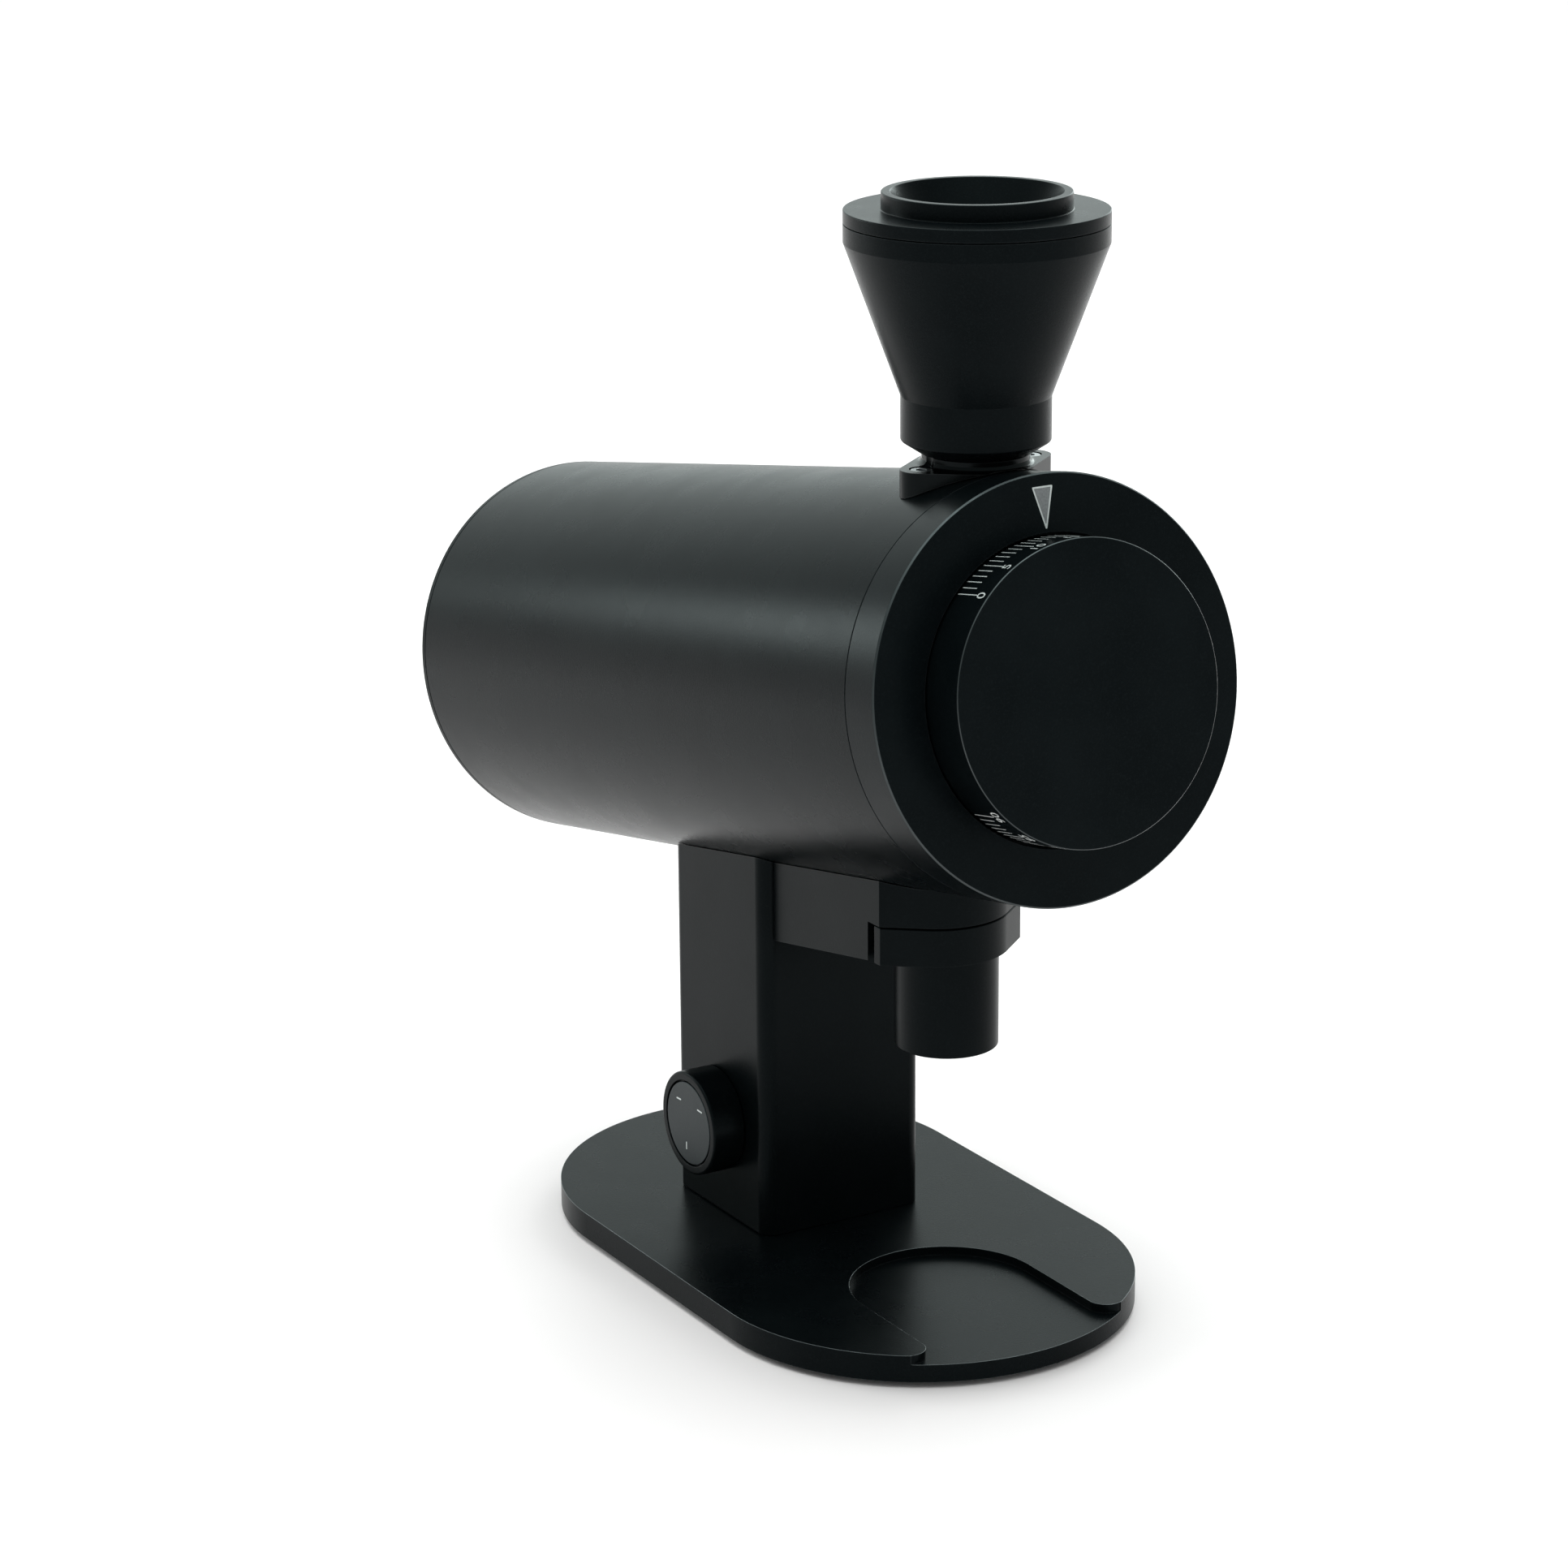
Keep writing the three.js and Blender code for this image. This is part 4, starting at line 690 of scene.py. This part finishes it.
def build_knob():
    floor = KNOB_DEEP - 1.5
    pocket = KNOB_FACE_RADIUS + 0.6
    knob = lathe([(0, GAP), (KNOB_RADIUS - 0.6, GAP), (KNOB_RADIUS, 0.9, 0.3),
                  (KNOB_RADIUS, KNOB_DEEP, 0.9), (pocket, KNOB_DEEP, 0.2), (pocket, floor),
                  (0, floor)], MIDDLE)
    knob = join(knob, rod(3, -10, 2))
    seat = MM * Vector((-COLUMN_HALF, COLUMN_MID, KNOB_Z))
    place = UPRIGHT @ Matrix.Translation(seat) @ Matrix.Rotation(math.pi / 2, 4, "Z")
    piece("speed_knob_cap", knob, place, SATIN, "knob", ["speed_knob"])
    back = KNOB_DEEP - 1.2
    face = lathe([(0, back), (KNOB_FACE_RADIUS, back),
                  (KNOB_FACE_RADIUS, KNOB_FACE_FRONT, 0.25), (0, KNOB_FACE_FRONT)], MIDDLE)
    piece("speed_knob_disc", face, place, KNOB_FACE, "knob", ["knob_face"])
    marks = bmesh.new()
    # Ends of each dash on the face. Here +X is the CAD's +Y and +Y points out of the knob.
    dashes = (((7.4, 6.8), (5.0, 6.9)), ((-6.4, 6.8), (-9.0, 6.7)),
              ((1.4, -7.2), (1.4, -9.4)))
    for start, end in dashes:
        add_bar(marks, start, end, KNOB_MARK_WIDTH, KNOB_DEEP - 0.12, KNOB_DEEP - 0.05)
    piece("speed_knob_marks", marks, place, MARKING, "knob")


def add_bar(bm, start, end, width, low, high):
    """A flat bar with round ends, standing on a plane y = low."""
    one, two = Vector(start), Vector(end)
    along = (two - one).normalized()
    angle = math.degrees(math.atan2(along.y, along.x))
    outline = (arc(two.x, two.y, width / 2, angle - 90, angle + 90, 6)
               + arc(one.x, one.y, width / 2, angle + 90, angle + 270, 6))
    bottom = [bm.verts.new((x, low, z)) for x, z in outline]
    top = [bm.verts.new((x, high, z)) for x, z in outline]
    bm.faces.new(bottom)
    bm.faces.new(top)
    for i in range(len(outline)):
        n = (i + 1) % len(outline)
        bm.faces.new([bottom[i], bottom[n], top[n], top[i]])


# ---- drum ---------------------------------------------------------------
RING_WIDTH = 15.5
DRUM_LENGTH = 303
COVER_START = 300
COLLAR_SCREW_X = 19.5
COLLAR_SHANK = 1.8
COLLAR_HEAD = 3.4
SOCKET_RADIUS = 15.6
POST_CIRCLE = 52            # the cover's screws: radius and first angle
POST_START = 30
DRUM_INSIDE = 61.3
EXIT_RADIUS = 12
SADDLE_BOLT_X = 20
VENTS = 12


def build_drum():
    front, back = RING_WIDTH + GAP, COVER_START - GAP
    tube = lathe([(DRUM_INSIDE, front), (DRUM_RADIUS, front, 0.25),
                  (DRUM_RADIUS, back, 0.25), (DRUM_INSIDE, back)])
    tools = [upright_hole(SOCKET_RADIUS, 0, HOPPER_Y, UPPER),
             upright_hole(EXIT_RADIUS, 0, SPOUT_Y, LOWER),
             upright_hole(LEAD_HOLE, 0, COLUMN_MID, LOWER)]
    tools += [upright_hole(COLLAR_SHANK + GAP, x, HOPPER_Y, UPPER)
              for x in (-COLLAR_SCREW_X, COLLAR_SCREW_X)]
    tools += [at(rod_up(BOLT_SHANK + GAP, -80, -40), x, SADDLE_AXIS)
              for x in (-SADDLE_BOLT_X, SADDLE_BOLT_X)]
    piece("drum_shell_tube", cleaned(cut(tube, *tools)), DRUM, ANODISED, "stand",
          ["drum_shell"])


def build_rear_cover():
    spigot = COVER_START - 8
    chamfer = 0.8
    disc = lathe([(0, COVER_START), (58.2, COVER_START), (58.2, spigot), (61, spigot, 0.3),
                  (61, COVER_START), (DRUM_RADIUS, COVER_START, 0.2),
                  (DRUM_RADIUS, DRUM_LENGTH - chamfer, 0.3),
                  (DRUM_RADIUS - chamfer, DRUM_LENGTH, 0.3), (0, DRUM_LENGTH)])
    slot = arc(0, 40.2, 1.8, 0, 180, 12) + arc(0, 21.8, 1.8, 180, 360, 12)
    before, behind = COVER_START - PAST, DRUM_LENGTH + PAST
    tools = []
    for k in range(VENTS):
        tool = turned(prism(slot, -behind, -before), 90, "X")
        tools.append(spun(tool, 360 // VENTS * k))
    for k in range(3):
        hole = lathe([(0, before), (2.3, before), (2.3, COVER_START + 0.6),
                      (4.6, DRUM_LENGTH + 0.3), (4.6, behind), (0, behind)], SMALL)
        tools.append(spun(at(hole, 0, 0, POST_CIRCLE), POST_START + 120 * k))
    disc = softened(cut(disc, *tools), 0.3,
                    lambda m: m.y > DRUM_LENGTH - SKIN and m.xz.length < 60)
    piece("rear_cover_disc", disc, DRUM, ANODISED, "stand", ["rear_cover"])
    for k in range(3):
        screw = lathe([(0, -14), (2, -14, 0.3), (2, -2.1), (3.5, -0.5), (3.5, -0.4),
                       (0, -0.4)], SMALL)
        screw = softened(cut(screw, rod(1.5, -1.6, 1, HEXAGON)), 0.1,
                         lambda m: m.y > -0.4 - SKIN and m.xz.length < 2)
        screw = spun(at(screw, 0, DRUM_LENGTH, POST_CIRCLE), POST_START + 120 * k)
        piece(f"cover_screw_{k + 1}_head", screw, DRUM, STEEL, "stand",
              [f"cover_screw_{k + 1}"])


# ---- index ring, pointer and dial ---------------------------------------
DIAL_RADIUS = 46.1
DIAL_FRONT = -15.8
DIAL_BEVEL = 0.26
DIAL_FLANGE = 53.8
MOUTH = DIAL_RADIUS + 0.8
RING_CHAMFER = 0.5
RING_LAND = 6               # where the dial's flange sits behind the ring's face


def build_ring():
    ring = lathe([(MOUTH + 0.3, 0, 0.1), (DRUM_RADIUS - RING_CHAMFER, 0, 0.12),
                  (DRUM_RADIUS, RING_CHAMFER, 0.12), (DRUM_RADIUS, RING_WIDTH, 0.2),
                  (DIAL_FLANGE + 0.5, RING_WIDTH), (DIAL_FLANGE + 0.5, RING_LAND),
                  (MOUTH, RING_LAND), (MOUTH, 0.3, 0.1)], DIAL_FACETS)
    inset = 0.02                # leaves out the strips that ease the chamfer's ends
    for face in ring.faces:
        middle = face.calc_center_median()
        face.material_index = int(middle.y < RING_CHAMFER - inset and
                                  middle.xz.length > DRUM_RADIUS - RING_CHAMFER + inset)
    piece("index_ring", ring, DRUM, [DIAL_BLACK, CHAMFER], "stand", ["front_ring"])
    # Pointer: a filled triangle inside a lighter outline, tip towards the dial.
    corners = [(-3.6, 61.0, 0.35), (3.7, 61.0, 0.35), (0.35, 47.5, 0.3)]
    inner = [(-2.95, 60.5, 0.2), (3.0, 60.5, 0.2), (0.3, 49.4, 0.15)]
    for name, outline, height, material in (("pointer_outline", corners, 0.03, MARKING),
                                            ("pointer_fill", inner, 0.045, POINTER)):
        flat = [tuple(p) for p in eased(outline, steps=4)]
        mark = turned(prism(flat, -0.02, height), 90, "X")
        piece(name, mark, DRUM, material, "stand")


def build_dial():
    inside = DIAL_FRONT + 4
    land = RING_LAND + GAP
    dial = lathe([(0, DIAL_FRONT), (DIAL_RADIUS - DIAL_BEVEL, DIAL_FRONT),
                  (DIAL_RADIUS, DIAL_FRONT + DIAL_BEVEL, 0.1), (DIAL_RADIUS, land),
                  (DIAL_FLANGE, land), (DIAL_FLANGE, land + 4), (42, land + 4),
                  (42, inside), (26, inside), (26, 14), (20.4, 14), (20.4, inside),
                  (0, inside)], DIAL_FACETS)
    for face in dial.faces:
        middle = face.calc_center_median()
        face.material_index = int(middle.y < DIAL_FRONT + DIAL_BEVEL - 0.04 and
                                  middle.xz.length > DIAL_RADIUS - DIAL_BEVEL)
    piece("adjustment_dial", dial, DRUM, [DIAL_BLACK, CHAMFER], "dial", ["dial"])
    build_scale()


ZERO_ANGLE = -43.9          # where the scale's 0 stands, from the top towards +X
UNIT_ANGLE = 3.0            # degrees of dial for one unit
SCALE_END = 90
TICK_BACK = 0.6
MINOR_FRONT = -7.0
MAJOR_FRONT = -9.6
TICK_WIDTH = 0.32
NUMERAL_MIDDLE = -11.7
NUMERAL_HEIGHT = 3.9
NUMERAL_NARROW = 0.9
CAP_TO_SIZE = 0.70          # a capital's height as a part of the font's size
MARK_RISE = 0.025
MARK_SINK = -0.01


def on_dial(angle, offset, y, rise):
    """Point on the dial's side, offset millimetres clockwise of an angle."""
    turn = math.radians(angle) + offset / DIAL_RADIUS
    radius = DIAL_RADIUS + rise
    return Vector((radius * math.sin(turn), y, radius * math.cos(turn)))


def build_scale():
    ticks = bmesh.new()
    for unit in range(SCALE_END + 1):
        front = MINOR_FRONT if unit % 5 else MAJOR_FRONT
        angle = ZERO_ANGLE + UNIT_ANGLE * unit
        half = TICK_WIDTH / 2
        corners = ((-half, front), (half, front), (half, TICK_BACK), (-half, TICK_BACK))
        rings = []
        for rise in (MARK_SINK, MARK_RISE):
            rings.append([ticks.verts.new(on_dial(angle, x, y, rise)) for x, y in corners])
        ticks.faces.new(rings[0])
        ticks.faces.new(rings[1])
        for i in range(4):
            n = (i + 1) % 4
            ticks.faces.new([rings[0][i], rings[0][n], rings[1][n], rings[1][i]])
    piece("dial_ticks", ticks, DRUM, MARKING, "dial")
    numerals = bmesh.new()
    for unit in range(0, SCALE_END + 1, 5):
        add_numeral(numerals, str(unit), ZERO_ANGLE + UNIT_ANGLE * unit)
    piece("dial_numerals", numerals, DRUM, MARKING, "dial")


def add_numeral(bm, text, angle):
    """A number wrapped on the dial, its top towards the ring."""
    curve = bpy.data.curves.new("numeral", "FONT")
    curve.body = text
    curve.size = NUMERAL_HEIGHT / CAP_TO_SIZE
    curve.align_x = "CENTER"
    curve.resolution_u = 4
    curve.extrude = 0.02
    curve.space_character = 1.08
    ob = bpy.data.objects.new("numeral", curve)
    bpy.context.scene.collection.objects.link(ob)
    graph = bpy.context.evaluated_depsgraph_get()
    mesh = bpy.data.meshes.new_from_object(ob.evaluated_get(graph))
    for vertex in mesh.vertices:
        rise = MARK_RISE if vertex.co.z > 0 else MARK_SINK
        y = NUMERAL_MIDDLE - NUMERAL_HEIGHT / 2 + vertex.co.y
        vertex.co = on_dial(angle, vertex.co.x * NUMERAL_NARROW, y, rise)
    bm.from_mesh(mesh)
    bpy.data.objects.remove(ob)
    bpy.data.curves.remove(curve)
    bpy.data.meshes.remove(mesh)


# ---- hopper, its ring, collar -------------------------------------------
COLLAR_TOP = 60.9
BOSS_TOP = 64.2
BOSS_RADIUS = 16.5
COLLAR_RADIUS = 18.5
EAR_RADIUS = 6.5
HOPPER_TOP = high_of("hopper").z
RING_TOP = high_of("hopper_ring").z
NECK = 22.8
RIM_FLANGE = 39.9
HOPPER_WALL = 2.6
CONE_LOW = 81.5
CONE_HIGH = 127.7
FEED_RADIUS = 13.5


def build_hopper():
    inner_top = RIM_FLANGE - HOPPER_WALL
    body = lathe_up([
        (FEED_RADIUS, 57, 0.4), (15.2, 57, 0.3), (15.2, BOSS_TOP + GAP),
        (17.4, BOSS_TOP + GAP, 0.6), (NECK, 68, 0.7), (NECK, CONE_LOW, 0.15),
        (RIM_FLANGE, CONE_HIGH, 0.15), (RIM_FLANGE, HOPPER_TOP, 0.15),
        (inner_top, HOPPER_TOP, 0.2), (inner_top, CONE_HIGH, 1),
        (NECK - HOPPER_WALL, CONE_LOW, 3), (FEED_RADIUS, 74.5, 2)], ROUND)
    piece("hopper_cone", at(body, 0, HOPPER_Y), UPRIGHT, ANODISED, "hopper", ["hopper"])
    spigot = inner_top - 0.4
    spigot_inside = spigot - 2.4
    flange = RING_TOP - 5.3
    lip, mouth, throat = 28.6, 25.9, 21.4
    ring = lathe_up([
        (spigot_inside, HOPPER_TOP - 4, 0.3), (spigot, HOPPER_TOP - 4, 0.3),
        (spigot, HOPPER_TOP + GAP), (RIM_FLANGE, HOPPER_TOP + GAP, 0.12),
        (RIM_FLANGE, flange, 0.35), (lip, flange, 0.3), (lip, RING_TOP, 0.45),
        (mouth, RING_TOP, 0.35), (throat, flange - 2.6, 0.8), (throat, flange - 3.8, 0.3),
        (throat + 1.8, flange - 3.8, 0.3), (throat + 3.2, flange - 2.4, 0.4),
        (spigot_inside, flange - 2.4, 0.5)], ROUND)
    piece("hopper_top_ring", at(ring, 0, HOPPER_Y), UPRIGHT, ANODISED, "hopper_top",
          ["hopper_ring"])


def collar_outline():
    """Plan of the collar: a round middle with an ear for each screw."""
    lean = math.degrees(math.asin((COLLAR_RADIUS - EAR_RADIUS) / COLLAR_SCREW_X))
    return (arc(COLLAR_SCREW_X, 0, EAR_RADIUS, lean - 90, 90 - lean, 28)
            + arc(0, 0, COLLAR_RADIUS, 90 - lean, 90 + lean, 40)
            + arc(-COLLAR_SCREW_X, 0, EAR_RADIUS, 90 + lean, 270 - lean, 28)
            + arc(0, 0, COLLAR_RADIUS, 270 - lean, 270 + lean, 40))


def build_collar():
    low, high = 30, 80          # the drum's shape cuts the collar's underside
    skirt = prism(collar_outline(), low, COLLAR_TOP)
    inset = COLLAR_RADIUS - 0.02
    rise = lathe_up([(0, COLLAR_TOP - 2), (inset, COLLAR_TOP - 2), (inset, COLLAR_TOP),
                     (17.1, COLLAR_TOP + 0.35, 1.2), (BOSS_RADIUS, COLLAR_TOP + 1.6, 0.8),
                     (BOSS_RADIUS, BOSS_TOP, 0.3), (0, BOSS_TOP)], ROUND)
    tools = [at(drum_tool(), 0, -HOPPER_Y), rod_up(SOCKET_RADIUS, low, high, MIDDLE)]
    for x in (-COLLAR_SCREW_X, COLLAR_SCREW_X):
        tools.append(at(rod_up(COLLAR_SHANK + GAP, low, high), x))
        tools.append(at(rod_up(COLLAR_HEAD + GAP, COLLAR_TOP - 2.6, high, HOLE), x))
    collar = softened(cut(join(skirt, rise), *tools), 0.3,
                      lambda m: abs(m.z - COLLAR_TOP) < 0.03
                      and m.xy.length > COLLAR_RADIUS - 0.3)
    piece("hopper_collar_body", at(collar, 0, HOPPER_Y), UPRIGHT, POLISHED, "stand",
          ["hopper_collar"])
    for name, x in (("collar_screw_left", -COLLAR_SCREW_X),
                    ("collar_screw_right", COLLAR_SCREW_X)):
        screw = turned(socket_bolt(COLLAR_SHANK, 12, COLLAR_HEAD, 2.1), 180, "X")
        piece(name + "_cap", at(screw, x, HOPPER_Y, COLLAR_TOP - 0.2), UPRIGHT, STEEL,
              "stand", [name])


# ---- chute --------------------------------------------------------------
SEAM = -86.05               # the nozzle's top meets the block here
BLOCK_HALF = 26.4
NOSE_Y = 68.5
NOSE_RADIUS = 23.9
NOSE_ANGLE = 39
SPOUT_RADIUS = 16.5
SPOUT_BORE = 14.2
FLAP_RADIUS = 15.1
SPOUT_LOW = low_of("chute_nozzle").z
NOZZLE_HALF = high_of("chute_nozzle").x
NOZZLE_LOW = -98.7
NOZZLE_REAR = 62.6
NOZZLE_GAP = 0.5
SLOT_REAR = 65.9
UNDERSIDE = -85.9           # of the block's rear part, in the drum frame


def nose(half, rear):
    """Plan of the chute: straight sides, flats that narrow, a round nose."""
    turn = math.radians(NOSE_ANGLE)
    corner = (NOSE_Y - NOSE_RADIUS * math.cos(turn)
              + (half - NOSE_RADIUS * math.sin(turn)) * math.tan(turn))
    front = arc(0, NOSE_Y, NOSE_RADIUS, 270 - NOSE_ANGLE, 270 + NOSE_ANGLE, 48)
    outline = [(half, rear), (-half, rear), (-half, corner), *front, (half, corner)]
    # Only the corners where the flats begin are eased: the arc is smooth already.
    return [tuple(p) for p in eased([(*p, 0.4) if abs(p[0]) == half else p
                                     for p in outline])]


def spout_rod(radius, low=-LONG, high=0):
    return at(rod_up(radius, low, high, MIDDLE), 0, SPOUT_Y)


def from_spout(point):
    return (point.xy - Vector((0, SPOUT_Y))).length


def build_chute():
    rear = COLUMN_FRONT - GAP
    upper = prism(nose(BLOCK_HALF, rear), SEAM, -20)
    lower = block(-BLOCK_HALF, BLOCK_HALF, SLOT_REAR, rear, -LONG, SEAM + 0.01)
    under = turned(block(-LONG, LONG, -LONG, LONG, -2 * LONG, UNDERSIDE),
                   -math.degrees(TILT), "X")
    lower = cut(lower, under, spout_rod(SPOUT_RADIUS + 0.6))
    body = cut(join(upper, lower), drum_tool(), spout_rod(SPOUT_BORE),
               spout_rod(FLAP_RADIUS + GAP, SEAM - PAST, SEAM + 2))
    body = softened(body, 0.35,
                    lambda m: m.z < SEAM + SKIN and m.y < rear - SKIN
                    and from_spout(m) > 16
                    and (abs(m.x) > BLOCK_HALF - 0.3 or m.y < SLOT_REAR - 0.1))
    piece("chute_block_body", body, UPRIGHT, SATIN, "stand", ["chute_block"])

    flap = rod_up(FLAP_RADIUS, -0.6, 0.6, 96)
    slits = [turned(block(-0.5, 0.5, -12, 12, -2, 2), 45 * k, "Z") for k in (1, 3)]
    piece("declumper_flap", at(cut(flap, *slits), 0, SPOUT_Y, SEAM + 1), UPRIGHT, RUBBER,
          "stand", ["declumper"])

    top = SEAM - NOZZLE_GAP
    cap = prism(nose(NOZZLE_HALF, NOZZLE_REAR), NOZZLE_LOW, top)
    spout = at(lathe_up([(0, SPOUT_LOW), (SPOUT_RADIUS, SPOUT_LOW, 0.5),
                         (SPOUT_RADIUS, NOZZLE_LOW + 4), (0, NOZZLE_LOW + 4)]), 0, SPOUT_Y)
    nozzle = softened(cut(join(cap, spout), spout_rod(SPOUT_BORE)), 0.4,
                      lambda m: abs(m.z - top) < SKIN and from_spout(m) > SPOUT_BORE + 0.5)
    piece("chute_nozzle_body", nozzle, UPRIGHT, SATIN, "nozzle", ["chute_nozzle"])


# ---- pieces carried over from the CAD -----------------------------------
# Inner pieces keep the CAD's mesh and get a material.
CARRIED = {
    "saddle_bolt_1": STEEL, "saddle_bolt_2": STEEL, "control_board": BOARD,
    "speed_pot": ALUMINIUM, "grind_chamber": ALUMINIUM, "burr_carrier_front": ALUMINIUM,
    "burr_front": BURR, "burr_rear": BURR, "burr_carrier_rear": ALUMINIUM,
    "feed_auger": STEEL, "shaft": STEEL, "bearing_front": STEEL, "bearing_rear": STEEL,
    "motor_can": STEEL, "stator": LAMINATION, "stator_winding": COPPER, "rotor": LAMINATION,
    "motor_rear_plate": ALUMINIUM, "fan": MOULDED,
}
CARRIED.update({f"burr_{side}_screw_{i}": STEEL for side in ("front", "rear")
                for i in (1, 2, 3)})
CARRIED.update({f"adjust_spring_{i}": STEEL for i in (1, 2, 3)})
WELD_REACH = 0.000002       # metres


def dress_carried():
    for name, material in CARRIED.items():
        node = frame["nodes"][name]
        node.data.materials.clear()
        node.data.materials.append(material)
        weld = node.modifiers.new("weld", "WELD")
        weld.merge_threshold = WELD_REACH


build_base()
build_column()
build_inlet()
build_knob()
build_drum()
build_rear_cover()
build_ring()
build_dial()
build_hopper()
build_collar()
build_chute()
dress_carried()

# ---- floor, light, camera -----------------------------------------------
# In metres, in the CAD's frame.
STUDIO_TINT = (0.90, 1.0, 0.985)
FLOOR_COLOUR = (0.92, 0.828, 0.835)     # a little warm, against the studio's cool tint
FLOOR_CLOUDS = (0.86, 0.774, 0.78)
FLOOR_RADIUS = 14
# Name, place, what it faces, size across and up, watts.
LIGHTS = (
    ("key_left_rear", (-0.67, 0.85, 0.43), (-0.065, -0.135, 0.225), (0.45, 0.2), 2.6),
    ("overhead", (0.1, 0.5, 2.2), (0, 0.1, 0), (2.2, 2.2), 24),
    ("right_rear", (1.8, 1.2, 0.9), (0, 0, 0.2), (1.0, 1.4), 12),
)
# Direction, brightness away from it and along it, and the cosines it rises between.
WORLD_BACK = ((0.5, 0.84, 0.2), 0.55, 1.40, 0.5, 1.0)
WORLD_TOP = ((0, 0, 1), 0.0, 1.5, 0.6, 1.0)
# Solved from the photo: place, angles in degrees, lens and sensor in millimetres.
CAMERA_PLACE = (-0.70198, -1.16728, 0.56790)
CAMERA_ANGLES = (-30.637, 16.734, -0.46)    # azimuth, elevation, roll
CAMERA_LENS = 99.6
CAMERA_SENSOR = 36


def build_floor():
    made = Shader("floor", FLOOR_COLOUR, 0.55, specular=0.15)
    made.tinted(made.spread(made.noise(2.5, 2), 0.0, 0.25), FLOOR_CLOUDS)
    bm = bmesh.new()
    bmesh.ops.create_circle(bm, cap_ends=True, segments=64, radius=FLOOR_RADIUS)
    floor = as_object(bm, "studio_floor")
    floor.location.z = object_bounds()[0].z
    floor.data.materials.append(made.material)


def soft_light(name, spot, aim, size, watts):
    light = bpy.data.lights.new(name, "AREA")
    light.shape = "RECTANGLE"
    light.size, light.size_y = size
    light.energy = watts
    light.color = STUDIO_TINT
    ob = bpy.data.objects.new(name, light)
    ob.location = spot
    ob.visible_camera = False
    ob.rotation_euler = (Vector(aim) - Vector(spot)).to_track_quat("-Z", "Y").to_euler()
    bpy.context.scene.collection.objects.link(ob)


def build_world():
    world = bpy.data.worlds.new("studio")
    bpy.context.scene.world = world
    world.use_nodes = True
    tree = world.node_tree
    background = tree.nodes["Background"]
    background.inputs["Strength"].default_value = 1.0
    spot = tree.nodes.new("ShaderNodeTexCoord").outputs["Generated"]

    def glow(towards, low, high, start, end):
        """Brightness that rises as the direction nears another."""
        dot = tree.nodes.new("ShaderNodeVectorMath")
        dot.operation = "DOT_PRODUCT"
        dot.inputs[1].default_value = Vector(towards).normalized()
        tree.links.new(spot, dot.inputs[0])
        made = tree.nodes.new("ShaderNodeMapRange")
        made.interpolation_type = "SMOOTHSTEP"
        for label, value in (("From Min", start), ("From Max", end), ("To Min", low),
                             ("To Max", high)):
            made.inputs[label].default_value = value
        tree.links.new(dot.outputs["Value"], made.inputs["Value"])
        return made.outputs["Result"]

    total = tree.nodes.new("ShaderNodeMath")
    tree.links.new(glow(*WORLD_BACK), total.inputs[0])
    tree.links.new(glow(*WORLD_TOP), total.inputs[1])
    shade = tree.nodes.new("ShaderNodeVectorMath")
    shade.operation = "SCALE"
    shade.inputs[0].default_value = STUDIO_TINT
    tree.links.new(total.outputs["Value"], shade.inputs["Scale"])
    tree.links.new(shade.outputs["Vector"], background.inputs["Color"])


def build_camera():
    data = bpy.data.cameras.new("camera")
    data.lens = CAMERA_LENS
    data.sensor_width = CAMERA_SENSOR
    camera = bpy.data.objects.new("camera", data)
    azimuth, elevation, roll = (math.radians(angle) for angle in CAMERA_ANGLES)
    camera.location = CAMERA_PLACE
    camera.rotation_mode = "QUATERNION"
    back = Vector((math.sin(azimuth) * math.cos(elevation),
                   -math.cos(azimuth) * math.cos(elevation), math.sin(elevation)))
    turn = (-back).to_track_quat("-Z", "Y")
    camera.rotation_quaternion = turn @ Matrix.Rotation(roll, 3, "Z").to_quaternion()
    bpy.context.scene.collection.objects.link(camera)
    bpy.context.scene.camera = camera


build_floor()
build_world()
for light in LIGHTS:
    soft_light(*light)
build_camera()
bpy.context.scene.view_settings.view_transform = "Standard"
